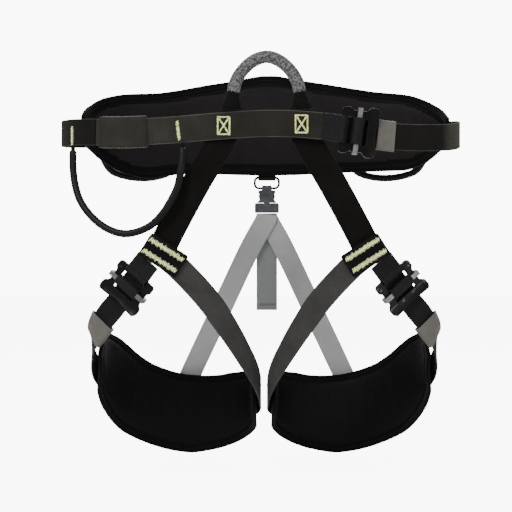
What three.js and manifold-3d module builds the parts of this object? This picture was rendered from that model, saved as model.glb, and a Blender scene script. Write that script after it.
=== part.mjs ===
// A tree climbing saddle: a padded waist belt, two padded leg loops, a rope bridge, three
// self-locking buckles, gear loops and elastic rear risers with a side-release buckle.
// Millimetres, +Z up. The wearer faces -Y, and "left" is the -X side seen from the front.
// The origin is the middle of the waist opening, at the height of the belt's ends.
import * as THREE from "three";
import { mergeVertices } from "three/addons/utils/BufferGeometryUtils.js";
import Module from "manifold-3d";

const wasm = await Module();
wasm.setup();

// Driving dimensions.
const GAP = 0.3; // between faces that touch
const WEB = { width: 35, thick: 2.5 }; // belt and leg webbing
const INNER_WEB = 32; // the leg webbing, a little narrower than the belt
const RISER_WIDTH = 37;
const ELASTIC = { width: 29.5, thick: 1.8 };
const BACK_PAD = { lining: 1.8, foam: 7.2, cover: 1.8 };
const LEG_PAD = { lining: 1.6, foam: 6.4, cover: 1.6 };
const ROPE_RADIUS = 7.25;
const GEAR_TUBE_RADIUS = 5;
const REAR_TUBE_RADIUS = 5;
const REAR_X = 4.5; // the rear tab, ring and side-release buckle hang a little to +X of the middle
const REAR_Y = 104.2; // plane of the rear tab, ring and side-release buckle

// Buckle: local x across the webbing, y towards the adjusting side, z outwards.
const BUCKLE = { thick: 4, railY: -19.5, eyeRadius: 6.2, eyeHole: 3.6, window: 18.5, barHalf: 3.2 };
const WAIST_BUCKLE = { at: [120.5, -96, 6], along: [0.985, 0.1, -0.14], out: [0.1, -1, 0] };
const LEG_BUCKLE = { at: [-178, -84, -196], along: [-0.6, 0.22, -0.77], out: [-0.344, -0.94, 0] };
const PATCH = { at: [-131, -103.6, -155], long: [0.84, 0, -0.54], length: 57, height: 33, thick: 2.6 };

const COLOURS = {
  webbing: [0x1c1b19, 0.85, 0],
  pad: [0x141213, 0.8, 0],
  foam: [0x2b2b2b, 0.95, 0],
  elastic: [0x8a8f90, 0.85, 0],
  rope: [0x6d7074, 0.8, 0],
  keeper: [0x8d8c82, 0.6, 0],
  metal: [0x2e2d2c, 0.42, 0.8],
  plastic: [0x4a4c52, 0.5, 0],
  tube: [0x3a3936, 0.55, 0],
  thread: [0xd3dc8c, 0.75, 0],
};

const group = new THREE.Group();
const vec = (p) => new THREE.Vector3(...p);

function mesh(name, geometry, colour, parent = group) {
  const [color, roughness, metalness] = COLOURS[colour];
  const made = new THREE.Mesh(geometry, new THREE.MeshStandardMaterial({ color, roughness, metalness }));
  made.name = name;
  parent.add(made);
  return made;
}

// ---- solids --------------------------------------------------------------------------------

function closed(vertices, triangles) {
  const geometry = new THREE.BufferGeometry();
  geometry.setAttribute("position", new THREE.BufferAttribute(new Float32Array(vertices), 3));
  geometry.setIndex(triangles);
  return geometry;
}

function toManifold(geometry) {
  const bare = geometry.clone();
  for (const name of Object.keys(bare.attributes)) if (name !== "position") bare.deleteAttribute(name);
  const merged = mergeVertices(bare, 1e-3);
  const vertProperties = merged.attributes.position.array;
  return new wasm.Manifold(
    new wasm.Mesh({ numProp: 3, vertProperties, triVerts: new Uint32Array(merged.index.array) }),
  );
}

function toGeometry(manifold) {
  const made = manifold.getMesh();
  const vertices = [];
  for (let i = 0; i < made.numVert; i += 1) {
    vertices.push(...made.vertProperties.subarray(i * made.numProp, i * made.numProp + 3));
  }
  return closed(vertices, Array.from(made.triVerts));
}

const cut = (solid, ...tools) =>
  toGeometry(tools.reduce((left, tool) => left.subtract(toManifold(tool)), toManifold(solid)));
const join = (...solids) => toGeometry(solids.map(toManifold).reduce((a, b) => a.add(b)));

// Frames along a smooth route. Across stays as near to upright as the route allows, and out
// points away from the middle of a loop that runs clockwise when it is seen from above.
function framesAlong(points, steps) {
  const curve = new THREE.CatmullRomCurve3(points.map(vec), false, "centripetal");
  const up = new THREE.Vector3(0, 0, 1);
  return Array.from({ length: steps + 1 }, (_, i) => {
    const along = curve.getTangentAt(i / steps);
    const across = up.clone().addScaledVector(along, -up.dot(along)).normalize();
    return { u: i / steps, at: curve.getPointAt(i / steps), along, across, out: across.clone().cross(along) };
  });
}

// A closed body swept through frames. section(frame) gives its corners as [across, out].
function sweep(frames, section) {
  const rings = frames.map((frame) => {
    const corner = ([a, b]) => frame.at.clone().addScaledVector(frame.across, a).addScaledVector(frame.out, b);
    return section(frame).map(corner);
  });
  const count = rings[0].length;
  const first = section(frames[0]);
  const vertices = rings.flat().flatMap((p) => p.toArray());
  const triangles = [];
  for (let i = 0; i + 1 < rings.length; i += 1) {
    for (let j = 0; j < count; j += 1) {
      const [a, b] = [i * count + j, i * count + ((j + 1) % count)];
      // One diagonal for both faces, so that a twisted layer stays clear of the next.
      if (first[(j + 1) % count][0] >= first[j][0]) triangles.push(a, a + count, b + count, a, b + count, b);
      else triangles.push(a, a + count, b, b, a + count, b + count);
    }
  }
  const last = (rings.length - 1) * count;
  for (let j = 1; j + 1 < count; j += 1) {
    triangles.push(0, j, j + 1, last, last + j + 1, last + j);
  }
  return closed(vertices, triangles);
}

const rectangle = (low, high, inner, outer) => [[low, inner], [low, outer], [high, outer], [high, inner]].reverse();

function strap(points, width, thick, steps) {
  const section = () => rectangle(-width / 2, width / 2, -thick / 2, thick / 2);
  return sweep(framesAlong(points, steps), section);
}

// A flat sleeve around a strap, from one share of the strap's route to another.
function sleeve(points, from, to, width, thick, hole) {
  const steps = 160;
  const frames = framesAlong(points, steps);
  const part = (a, b) => frames.filter((frame) => frame.u >= a && frame.u <= b).filter((_, i) => i % 2 === 0);
  const body = (list, w, t) => sweep(list, () => rectangle(-w / 2, w / 2, -t / 2, t / 2));
  return cut(body(part(from, to), width, thick), body(part(from - 0.02, to + 0.02), hole[0], hole[1]));
}

// Straight-line values between [u, value] keys.
function keyed(keys, u) {
  const next = Math.max(1, keys.findIndex(([at]) => at >= u));
  const [[u0, v0], [u1, v1]] = [keys[next - 1], keys[next]];
  return v0 + ((v1 - v0) * (u - u0)) / (u1 - u0);
}

// Three sandwich layers of one pad: lining inside, foam core, cover outside.
function padLayers(points, steps, upper, lower, layers) {
  const total = layers.lining + layers.foam + layers.cover + 2 * GAP;
  const frames = framesAlong(points, steps);
  const layer = (inner, thick) => {
    const section = ({ u }) => rectangle(-keyed(lower, u), keyed(upper, u), inner, inner + thick);
    return sweep(frames, section);
  };
  const foamAt = -total / 2 + layers.lining + GAP;
  return {
    lining: layer(-total / 2, layers.lining),
    foam: layer(foamAt, layers.foam),
    cover: layer(foamAt + layers.foam + GAP, layers.cover),
  };
}

function tube(points, radius, sides, steps) {
  const circle = new THREE.Shape();
  circle.absarc(0, 0, radius, 0, 2 * Math.PI);
  const extrudePath = new THREE.CatmullRomCurve3(points.map(vec), false, "centripetal");
  return new THREE.ExtrudeGeometry(circle, { steps, extrudePath, curveSegments: sides });
}

// A shape pushed through its depth, centred, along "x" (drawn in y, z), "y" (z, x) or "z" (x, y).
function extrude(shape, depth, axis, curveSegments = 10) {
  const geometry = new THREE.ExtrudeGeometry(shape, { depth, bevelEnabled: false, curveSegments });
  geometry.translate(0, 0, -depth / 2);
  const [x, y, z] = [new THREE.Vector3(1, 0, 0), new THREE.Vector3(0, 1, 0), new THREE.Vector3(0, 0, 1)];
  const bases = { x: [y, z, x], y: [z, x, y], z: [x, y, z] };
  return geometry.applyMatrix4(new THREE.Matrix4().makeBasis(...bases[axis]));
}

const outline = (points) => new THREE.Shape(points.map(([x, y]) => new THREE.Vector2(x, y)));

function box(low, high) {
  const size = high.map((h, i) => h - low[i]);
  return new THREE.BoxGeometry(...size).translate(...high.map((h, i) => (h + low[i]) / 2));
}

function roundedBar(width, height, radius) {
  const [x, y] = [width / 2, height / 2];
  const shape = new THREE.Shape();
  shape.moveTo(-x + radius, -y).lineTo(x - radius, -y);
  shape.absarc(x - radius, -y + radius, radius, -Math.PI / 2, 0);
  shape.absarc(x - radius, y - radius, radius, 0, Math.PI / 2);
  shape.absarc(-x + radius, y - radius, radius, Math.PI / 2, Math.PI);
  shape.absarc(-x + radius, -y + radius, radius, Math.PI, 1.5 * Math.PI);
  return shape;
}

// A group whose y runs along a strap and whose z faces outwards.
function seat(parent, at, along, out) {
  const y = vec(along).normalize();
  const z = vec(out).addScaledVector(y, -vec(out).dot(y)).normalize();
  const made = new THREE.Group();
  made.quaternion.setFromRotationMatrix(new THREE.Matrix4().makeBasis(y.clone().cross(z), y, z));
  made.position.set(...at);
  parent.add(made);
  return made;
}

// Doubled webbing, sewn back on itself round a rail at eyeY, with its flat part behind the eye.
function loopedWebbing(eyeY, eyeRadius, hole, thick, length) {
  const half = thick / 2;
  const start = Math.asin(half / eyeRadius);
  const profile = new THREE.Shape();
  profile.moveTo(eyeY - length, -half);
  profile.absarc(eyeY, 0, eyeRadius, Math.PI + start, 3 * Math.PI - start);
  profile.lineTo(eyeY - length, half);
  profile.holes.push(new THREE.Path().absarc(eyeY, 0, hole, 0, 2 * Math.PI));
  return profile;
}

// ---- waist belt ----------------------------------------------------------------------------

const BELT_FRONT = [
  [75.4, -100.6, 12.4], [40, -100, 15.2], [0, -98, 16], [-63, -96, 12.4], [-123, -92, 7.8], [-183, -82, 5.8], [-221, -70, 7],
];
const BELT_REAR = [
  [-222.6, -69, 7.1], [-252, -52, 8.3], [-272, -18, 9], [-271, 20, 10.5], [-240, 60, 13], [-183, 84, 17.5],
  [-90, 98, 22], [0, 102.5, 24], [90, 98, 22], [180, 84, 18], [232, 60, 14], [261, 20, 12], [263.5, -18, 8],
  [248, -58, 1.5], [210, -80, -1.2], [176, -86, -0.8], [150, -88.8, 1.8], [124, -91.4, 5.4], [107.8, -93.1, 7.75],
];
const BACK_PAD_ROUTE = [
  [-246, -11, 23], [-237, 22, 25], [-211, 54, 27], [-167, 76, 30], [-90, 89, 34], [0, 93, 35],
  [90, 89, 34], [168, 76, 30], [213, 54, 27], [241, 22, 25], [249, -11, 23],
];
const BACK_UPPER = [
  [0, 10], [0.012, 16], [0.03, 21], [0.058, 26], [0.08, 32], [0.11, 38], [0.15, 42], [0.18, 43], [0.25, 43], [0.3, 46],
  [0.36, 52], [0.42, 57], [0.49, 65], [0.53, 65], [0.58, 59], [0.64, 54], [0.7, 49], [0.76, 45], [0.82, 43], [0.85, 41],
  [0.87, 38], [0.9, 32], [0.92, 27], [0.94, 22], [0.97, 15], [1, 8],
];
const BACK_LOWER = [
  [0, 17], [0.012, 24], [0.03, 31], [0.058, 38], [0.08, 46], [0.103, 53], [0.13, 62], [0.16, 70], [0.19, 75], [0.22, 77],
  [0.25, 75], [0.29, 73], [0.36, 74], [0.43, 76], [0.5, 77], [0.58, 76], [0.65, 73], [0.72, 70], [0.78, 67], [0.85, 64],
  [0.87, 60], [0.9, 53], [0.92, 46], [0.94, 39], [0.97, 31], [1, 18],
];

function waistBelt() {
  const pad = padLayers(BACK_PAD_ROUTE, 56, BACK_UPPER, BACK_LOWER, BACK_PAD);
  mesh("back_pad_lining", pad.lining, "pad");
  mesh("back_pad_foam", pad.foam, "foam");
  mesh("back_pad_cover", pad.cover, "pad");
  mesh("waist_webbing_front", strap(BELT_FRONT, WEB.width, WEB.thick, 24), "webbing");
  mesh("waist_webbing_rear", strap(BELT_REAR, WEB.width, WEB.thick, 72), "webbing");
  const front = sleeve(BELT_FRONT, 0.765, 0.985, 41, 6, [36, 3.4]);
  mesh("belt_splice_sleeve", front, "webbing");
  const keeper = sleeve(BELT_REAR, 0.932, 0.957, 40, 5.2, [36, 3.3]);
  mesh("waist_strap_keeper", keeper, "keeper");
  mesh("pad_belt_loop_left", sleeve(BELT_REAR, 0.292, 0.325, 42, 6.4, [36, 3.4]), "webbing");
  mesh("pad_belt_loop_right", sleeve(BELT_REAR, 0.548, 0.581, 42, 6.4, [36, 3.4]), "webbing");
}

// ---- buckles -------------------------------------------------------------------------------

function buckle(name, parent, place, loopLength) {
  const local = seat(parent, place.at, place.along, place.out);
  const plate = outline([
    [-27, -22], [27, -22], [29.5, -19.5], [29.5, -12], [26, -8.5], [26, 9], [32, 14.5], [32, 21.5], [29, 25.5],
    [-29, 25.5], [-32, 21.5], [-32, 14.5], [-26, 9], [-26, -8.5], [-29.5, -12], [-29.5, -19.5],
  ]);
  const w = BUCKLE.window;
  plate.holes.push(outline([[-w, -17], [w, -17], [w, 13], [-w, 13]]));
  mesh(`${name}_frame`, extrude(plate, BUCKLE.thick, "z"), "metal", local);

  // The sliding bar crosses in front of the frame and hooks round both of its side rails.
  const [end, rail, hook] = [30.4, 26.4, 22.4];
  const bar = outline([
    [6.4, -end], [6.4, end], [-4.4, end], [-4.4, hook], [-2.4, hook], [-2.4, rail], [2.4, rail],
    [2.4, -rail], [-2.4, -rail], [-2.4, -hook], [-4.4, -hook], [-4.4, -end],
  ]);
  mesh(`${name}_slide_bar`, extrude(bar, 2 * BUCKLE.barHalf, "y"), "metal", local);

  // Webbing wrapped over the bar, from the window and back into it.
  const wrap = new THREE.Shape();
  wrap.moveTo(-6, -0.6).lineTo(6, -0.6).lineTo(7.5, 1).lineTo(7.5, 4.4);
  wrap.absellipse(0, 4.4, 7.5, 5, 0, Math.PI);
  wrap.lineTo(-7.5, 1);
  wrap.holes.push(outline([[-3.5, 2.1], [3.5, 2.1], [3.5, 6.7], [-3.5, 6.7]]));
  mesh(`${name}_bar_wrap`, extrude(wrap, WEB.width, "x", 7), "webbing", local);

  const loop = loopedWebbing(BUCKLE.railY, BUCKLE.eyeRadius, BUCKLE.eyeHole, 4.6, loopLength);
  mesh(`${name}_loop`, extrude(loop, WEB.width, "x", 8), "webbing", local);
}

// ---- one leg loop, on the -X side ------------------------------------------------------------

const LEG_PAD_ROUTE = [
  [-218, -45, -278], [-214.5, -9, -312], [-181, 37, -352], [-116, 73, -378], [-56, 67.5, -376],
  [-18, 38, -360], [-13.5, -6, -342],
];
const LEG_UPPER = [
  [0, 20], [0.03, 38], [0.06, 50], [0.09, 55], [0.12, 57], [0.2, 58], [0.35, 55], [0.6, 56], [0.8, 52], [0.92, 43], [0.97, 32],
  [1, 16],
];
const LEG_LOWER = [
  [0, 14], [0.03, 22], [0.09, 30], [0.2, 40], [0.35, 49], [0.6, 54], [0.7, 48], [0.8, 40], [0.88, 33], [0.94, 26], [0.97, 21],
  [1, 12],
];
const LEG_WEB_ROUTE = [
  [-169.1, -82.8, -186.4], [-179, -79.2, -199], [-194.6, -73.5, -219], [-213, -68, -242], [-227, -52, -268], [-226, -14, -309],
  [-187, 44, -352], [-118, 83, -378], [-52, 77, -376], [-11, 42, -359], [-5.5, -8, -340], [-12.5, -42, -314],
  [-29.5, -70, -281], [-51, -88, -245], [-74, -96, -212], [-112, -100, -171], [-126, -100.6, -159],
];
const RISER_ROUTE = [[-50, -91, 8], [-61, -91, -14], [-87, -91.5, -58], [-120, -92.5, -119], [-134, -93.5, -147]];

function legLoop(side, parent) {
  const pad = padLayers(LEG_PAD_ROUTE, 40, LEG_UPPER, LEG_LOWER, LEG_PAD);
  mesh(`leg_pad_lining_${side}`, pad.lining, "pad", parent);
  mesh(`leg_pad_foam_${side}`, pad.foam, "foam", parent);
  mesh(`leg_pad_cover_${side}`, pad.cover, "pad", parent);
  mesh(`leg_webbing_${side}`, strap(LEG_WEB_ROUTE, INNER_WEB, WEB.thick, 64), "webbing", parent);
  const keeper = sleeve(LEG_WEB_ROUTE, 0.093, 0.132, 41, 8.8, [36.4, 6.4]);
  mesh(`leg_strap_keeper_${side}`, keeper, "keeper", parent);
  mesh(`leg_riser_${side}`, strap(RISER_ROUTE, RISER_WIDTH, WEB.thick, 10), "webbing", parent);
  buckle(`leg_buckle_${side}`, parent, LEG_BUCKLE, 25);

  // The junction patch, with its two bar tacks.
  const spot = seat(parent, PATCH.at, PATCH.long, [0, -1, 0]);
  const plate = roundedBar(PATCH.height, PATCH.length, 3);
  mesh(`junction_patch_${side}`, extrude(plate, PATCH.thick, "z", 3), "webbing", spot);
  const tackFace = PATCH.thick / 2 + GAP;
  [["upper", -8.5], ["lower", 8.5]].forEach(([which, x]) => {
    const tack = box([x - 3.6, -26, tackFace], [x + 3.6, 26, tackFace + 1.4]);
    mesh(`junction_tack_${which}_${side}`, tack, "thread", spot);
  });
}

// ---- rope bridge -----------------------------------------------------------------------------

function ropeBridge() {
  const y = -87;
  const bridge = new THREE.Group();
  bridge.position.x = 2.7;
  group.add(bridge);
  const half = [[-43.2, y, 59.4], [-40, y, 72], [-30.5, y, 87], [-15.5, y, 99.5]];
  const route = [...half, [0, y, 104], ...half.map(([x, , z]) => [-x, y, z]).reverse()];
  mesh("rope_bridge", tube(route, ROPE_RADIUS, 12, 40), "rope", bridge);
  [["left", -1], ["right", 1]].forEach(([side, s]) => {
    const frames = framesAlong([[s * 46, y, 35], [s * 44.8, y, 46], [s * 43.4, y, 57.4]], 8);
    const section = ({ u }) => {
      const [a, b] = [15 - 6.7 * u ** 0.8, 5 + 3.2 * u];
      return Array.from({ length: 14 }, (_, i) => {
        const angle = (2 * Math.PI * i) / 14;
        return [a * Math.cos(angle), b * Math.sin(angle)];
      });
    };
    frames.forEach((frame) => {
      frame.across.set(1, 0, 0).addScaledVector(frame.along, -frame.along.x).normalize();
      frame.out.copy(frame.across).cross(frame.along);
    });
    mesh(`bridge_sleeve_${side}`, sweep(frames, section), "webbing", bridge);
  });
}

// ---- gear loops ------------------------------------------------------------------------------

function gearLoops() {
  const front = [
    [-254, -51, -15.3], [-254, -52.5, -26], [-253.6, -54.5, -38], [-251, -58.5, -58], [-242.9, -68, -82.2],
    [-225.3, -78, -105.5], [-201.6, -87, -122], [-178.1, -94, -127], [-148.4, -101, -117.1], [-131.3, -104.5, -100.4],
    [-122.2, -105, -86.2], [-113.2, -104, -68], [-108.1, -102.5, -44.6], [-106.2, -99.5, -27], [-106.2, -96.5, -14.9],
  ];
  mesh("gear_loop_front", tube(front, GEAR_TUBE_RADIUS, 10, 40), "tube");
  const rear = [
    [118, 105, 2], [120, 109.5, -18], [134, 113, -35], [154, 112, -42.5], [178, 107, -44.5], [200, 98, -41.5], [216, 89, -35],
    [226, 81, -20], [229, 76, -2],
  ];
  mesh("gear_loop_rear_right", tube(rear, REAR_TUBE_RADIUS, 10, 30), "tube");
  mesh("gear_loop_rear_left", tube(rear.map(([x, y, z]) => [-x, y, z]), REAR_TUBE_RADIUS, 10, 30), "tube");
}

// Bar tacks on the belt: two that hold the front gear loop, and a crossed box over each riser.
function beltTacks() {
  const pair = [
    ["outer", [-255.5, -51, 3.5], [0, 0, 1], [-0.737, -0.676, 0]],
    ["inner", [-112.2, -94.8, 7], [-0.12, 0, 1], [-0.089, -0.996, 0]],
  ];
  pair.forEach(([name, at, up, out]) => {
    const spot = seat(group, at, up, out);
    mesh(`gear_tack_${name}`, box([-2, -12, 0], [2, 12, 1.4]), "thread", spot);
  });
  [["left", [-53, -99.2, 13.2]], ["right", [48, -103, 15]]].forEach(([side, at]) => {
    const spot = seat(group, at, [0, 0, 1], [0, -1, 0]);
    const edge = extrude(roundedBar(17, 24, 2), 1.4, "z", 2);
    const square = cut(edge, box([-5.7, -9.2, -2], [5.7, 9.2, 2]));
    const cross = [1, -1].map((s) => box([-1.4, -12.4, -0.7], [1.4, 12.4, 0.7]).rotateZ(s * 0.56));
    mesh(`riser_tack_${side}`, join(square, ...cross), "thread", spot);
  });
}

// ---- rear risers -----------------------------------------------------------------------------

function elasticRoute(side, y) {
  return [
    [REAR_X, y, -96.6], [REAR_X + side * 0.4, y, -100.5], [REAR_X + side * 2.6, y, -106], [REAR_X + side * 22, y - 1, -141], [REAR_X + side * 60, 95, -221],
    [REAR_X + side * 103, 90, -312], [REAR_X + side * 117, 88, -343],
  ];
}

function rearRisers() {
  const rear = new THREE.Group();
  rear.position.set(REAR_X, 0, 3);
  group.add(rear);
  const ring = { z: -54.5, width: 38, height: 19, wire: 3.5 };
  const barZ = (ring.height - ring.wire) / 2;
  const tab = seat(rear, [0, REAR_Y, ring.z + barZ], [0, 0, -1], [0, 1, 0]);
  mesh("rear_tab", extrude(loopedWebbing(0, 5, 2.8, 4.4, 44), 25, "x", 8), "webbing", tab);

  const oval = roundedBar(ring.width, ring.height, 8);
  oval.holes.push(roundedBar(ring.width - 2 * ring.wire, ring.height - 2 * ring.wire, 4.5));
  const ringSpot = seat(rear, [0, REAR_Y, ring.z], [0, 0, 1], [0, -1, 0]);
  mesh("rear_ring", extrude(oval, ring.wire, "z", 6), "metal", ringSpot);

  // Side-release buckle, drawn in x, z about the ring's lower bar. Two plates joined at the top
  // hold the prongs, which show at the narrow waist.
  const spot = seat(rear, [0, REAR_Y, 0], [0, 0, 1], [0, -1, 0]);
  const half = [[7, -58.4], [7, -65], [11.5, -65.5], [12.8, -67.5], [10.6, -71], [9.2, -75], [10.4, -79], [14.5, -83]];
  const body = outline([...half, ...half.map(([x, z]) => [-x, z]).reverse()]);
  const lowerBar = new THREE.CylinderGeometry(2.8, 2.8, 40, 16).rotateZ(Math.PI / 2).translate(0, ring.z - barZ, 0);
  const socket = box([-20, -90, -2.7], [20, -69, 2.7]);
  mesh("riser_buckle_female", cut(extrude(body, 9.4, "z"), lowerBar, socket), "plastic", spot);

  const shoulders = outline([[-16.4, -83.6], [16.4, -83.6], [17.4, -86], [17.4, -96], [16.4, -97.4], [-16.4, -97.4], [-17.4, -96], [-17.4, -86]]);
  const tongue = box([-4, -84, -2.2], [4, -71, 2.2]);
  mesh("riser_buckle_male", join(extrude(shoulders, 9.4, "z"), tongue), "plastic", spot);
  [["left", -1], ["right", 1]].forEach(([side, s]) => {
    const arm = [[8.2, -83.2], [10.8, -83.2], [10.8, -78], [11.8, -74], [11.4, -71], [9, -70], [8.2, -72]];
    const prong = extrude(outline(arm.map(([x, z]) => [s * x, z])), 4.2, "z");
    mesh(`riser_prong_${side}`, prong, "metal", spot);
  });

  mesh("elastic_riser_left", strap(elasticRoute(-1, REAR_Y - 4), ELASTIC.width, ELASTIC.thick, 24), "elastic");
  mesh("elastic_riser_right", strap(elasticRoute(1, REAR_Y - 0.6), ELASTIC.width, ELASTIC.thick, 24), "elastic");
  const tail = outline([[-98, -0.9], [-98, 0.9], [-227, 0.9], [-227, 2.6], [-236, 2.6], [-236, -0.9]]);
  const tailSpot = seat(rear, [0, REAR_Y + 3, 0], [0, 0, 1], [0, 1, 0]);
  mesh("elastic_tail", extrude(tail, ELASTIC.width, "x"), "elastic", tailSpot);
}

waistBelt();
buckle("waist_buckle", group, WAIST_BUCKLE, 25.5);
ropeBridge();
gearLoops();
beltTacks();
rearRisers();
legLoop("left", group);
const mirrored = new THREE.Group();
mirrored.scale.x = -1;
group.add(mirrored);
legLoop("right", mirrored);

export default group;
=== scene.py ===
# The looks of a tree climbing saddle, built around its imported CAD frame.
# Metres, +Z up. The wearer faces -Y, and "left" is the -X side seen from the front.
import math

import bmesh
import bpy
import numpy as np
from mathutils import Matrix, Vector


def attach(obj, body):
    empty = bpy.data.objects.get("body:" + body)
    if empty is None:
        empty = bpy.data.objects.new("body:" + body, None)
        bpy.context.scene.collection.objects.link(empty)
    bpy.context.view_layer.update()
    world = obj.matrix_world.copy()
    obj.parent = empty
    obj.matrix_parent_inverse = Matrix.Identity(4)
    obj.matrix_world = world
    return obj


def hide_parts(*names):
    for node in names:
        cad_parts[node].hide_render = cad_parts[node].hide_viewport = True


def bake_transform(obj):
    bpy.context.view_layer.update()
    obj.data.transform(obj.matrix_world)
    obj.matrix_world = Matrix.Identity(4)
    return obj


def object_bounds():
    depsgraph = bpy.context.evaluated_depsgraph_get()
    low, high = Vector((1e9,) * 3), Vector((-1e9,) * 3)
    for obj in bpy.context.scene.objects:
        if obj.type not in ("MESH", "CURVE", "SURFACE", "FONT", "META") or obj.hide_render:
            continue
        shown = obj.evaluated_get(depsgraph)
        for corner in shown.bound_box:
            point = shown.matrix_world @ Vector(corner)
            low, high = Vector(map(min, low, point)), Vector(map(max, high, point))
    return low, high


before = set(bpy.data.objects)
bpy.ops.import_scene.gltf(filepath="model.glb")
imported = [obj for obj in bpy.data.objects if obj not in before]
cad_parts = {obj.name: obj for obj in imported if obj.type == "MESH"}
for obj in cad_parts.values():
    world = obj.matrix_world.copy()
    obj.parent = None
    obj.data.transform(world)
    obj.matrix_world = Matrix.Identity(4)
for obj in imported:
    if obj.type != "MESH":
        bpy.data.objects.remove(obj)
CAD_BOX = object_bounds()

MM = 0.001
UP = (0.0, 0.0, 1.0)
SIDES = (("left", 1), ("right", -1))  # the -X side is drawn, and the +X side mirrors it
WEB = (35 * MM, 2.4 * MM)  # width and thickness
INNER_WEB = (32 * MM, 2.4 * MM)
RISER = (37 * MM, 2.4 * MM)
ELASTIC = (29.5 * MM, 1.7 * MM)
REAR_X, REAR_Y, REAR_LIFT = 4.5, 104.2, 3.0  # millimetres
BACKDROP = 10.0  # how bright the floor and surroundings look to the camera
random = np.random.default_rng(11)


# ---- routes and surfaces ---------------------------------------------------------------------

def unit(v):
    v = np.asarray(v, float)
    return v / np.maximum(np.linalg.norm(v, axis=-1, keepdims=True), 1e-12)


def smooth_line(points, spans=40):
    """A centripetal Catmull-Rom line through points in millimetres, in metres."""
    p = np.array(points, float) * MM
    p = np.vstack([2 * p[0] - p[1], p, 2 * p[-1] - p[-2]])
    t = np.linspace(0, 1, spans, endpoint=False)[:, None]
    line = []
    for a, b, c, d in zip(p, p[1:], p[2:], p[3:]):
        before, here, after = (np.linalg.norm(q - r) ** 0.5 for q, r in ((a, b), (b, c), (c, d)))
        leave = ((b - a) / before - (c - a) / (before + here) + (c - b) / here) * here
        arrive = ((c - b) / here - (d - b) / (here + after) + (d - c) / after) * here
        cubic = 2 * b - 2 * c + leave + arrive
        line.append(b + leave * t + (3 * c - 3 * b - 2 * leave - arrive) * t**2 + cubic * t**3)
    return np.vstack([*line, p[-2:-1]])


class Path:
    """Evenly spaced frames along a line: across stays as near to upright as the line allows."""

    def __init__(self, line, step=2 * MM, span=(0.0, 1.0), across=UP, at=None):
        lengths = np.r_[0, np.cumsum(np.linalg.norm(np.diff(line, axis=0), axis=1))]
        total = lengths[-1]
        if at is None:
            count = max(3, round(total * (span[1] - span[0]) / step) + 1)
            at = np.linspace(span[0], span[1], count)
        self.u = np.asarray(at)
        self.v = self.u * total
        self.total = total
        self.at = np.stack([np.interp(self.v, lengths, line[:, k]) for k in range(3)], 1)
        fine = np.gradient(line, lengths, axis=0)
        self.along = unit(np.stack([np.interp(self.v, lengths, fine[:, k]) for k in range(3)], 1))
        guide = np.broadcast_to(np.asarray(across, float), self.at.shape)
        self.across = unit(guide - self.along * np.sum(guide * self.along, 1, keepdims=True))
        self.out = np.cross(self.across, self.along)

    def place(self, a, b):
        """Points at a across and b out, for every frame."""
        a, b = (np.broadcast_to(np.asarray(x, float), (len(self.at), np.shape(x)[-1])) for x in (a, b))
        return self.at[:, None] + self.across[:, None] * a[..., None] + self.out[:, None] * b[..., None]

    def spot(self, v, a, b):
        """(point, along, across, out) at length v, a across and b out."""
        v = np.atleast_1d(v)
        pick = [np.stack([np.interp(v, self.v, x[:, k]) for k in range(3)], 1)
                for x in (self.at, self.along, self.across, self.out)]
        at, along, across, out = pick[0], *(unit(x) for x in pick[1:])
        return at + across * np.reshape(a, (-1, 1)) + out * np.reshape(b, (-1, 1)), along, across, out


def link(name, mesh):
    piece = bpy.data.objects.new(name, mesh)
    bpy.context.scene.collection.objects.link(piece)
    return piece


def build(name, vertices, faces, looks, run=None, crease=45):
    """A mesh piece with outward faces. run holds (across, along, out) in metres for the weave."""
    mesh = bpy.data.meshes.new(name)
    mesh.from_pydata(np.asarray(vertices, float).reshape(-1, 3).tolist(), [], faces)
    if run is not None:
        layer = mesh.attributes.new("run", "FLOAT_VECTOR", "POINT")
        layer.data.foreach_set("vector", np.asarray(run, np.float32).ravel())
    work = bmesh.new()
    work.from_mesh(mesh)
    bmesh.ops.recalc_face_normals(work, faces=work.faces)
    work.to_mesh(mesh)
    work.free()
    mesh.shade_smooth()
    mesh.set_sharp_from_angle(angle=math.radians(crease))
    for look in looks if isinstance(looks, (list, tuple)) else [looks]:
        mesh.materials.append(look)
    return link(name, mesh)


def loft(count, around, ring=False):
    """Faces of count rings of around points. ring closes the last one onto the first."""
    index = np.arange(count * around).reshape(count, around)
    if ring:
        index = np.vstack([index, index[:1]])
    low, high = index[:-1], index[1:]
    quads = np.stack([low, np.roll(low, -1, 1), np.roll(high, -1, 1), high], -1).reshape(-1, 4).tolist()
    return quads if ring else quads + [index[0][::-1].tolist(), index[-1].tolist()]


def settle(piece, body, nodes=()):
    """The piece rides on a body and stands for its CAD nodes."""
    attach(piece, body)
    if nodes:
        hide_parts(*nodes)
    return piece


def flip(points, sign):
    return np.asarray(points, float) * (sign, 1, 1)


def pill(width, thick, flat=12, selvage=0.12):
    """The section of a woven strap: round edges, and a face a little thinner than its edges."""
    half, edge = width / 2, thick / 2
    a = np.linspace(-half + edge, half - edge, flat)
    b = edge * (1 - selvage * np.clip((half - np.abs(a)) / (2.4 * MM) - 0.6, 0, 1))
    turn = np.radians([60, 30, 0, -30, -60])
    right = [(half - edge + edge * math.cos(t), edge * math.sin(t)) for t in turn]
    left = [(-x, -y) for x, y in right]
    return np.array([*zip(a, b), *right, *zip(a[::-1], -b[::-1]), *left])


def ripple(v, a, size, seed, lengths=(0.031, 0.067, 0.12)):
    """A slow unevenness of a few tenths of a millimetre, as handled webbing has."""
    phases = np.random.default_rng(seed).uniform(0, 2 * math.pi, (len(lengths), 2))
    return size * sum(
        np.sin(2 * math.pi * v[:, None] / length + phase[0])
        * np.cos(40 * a[None] + phase[1]) for length, phase in zip(lengths, phases)) / len(lengths)


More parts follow.
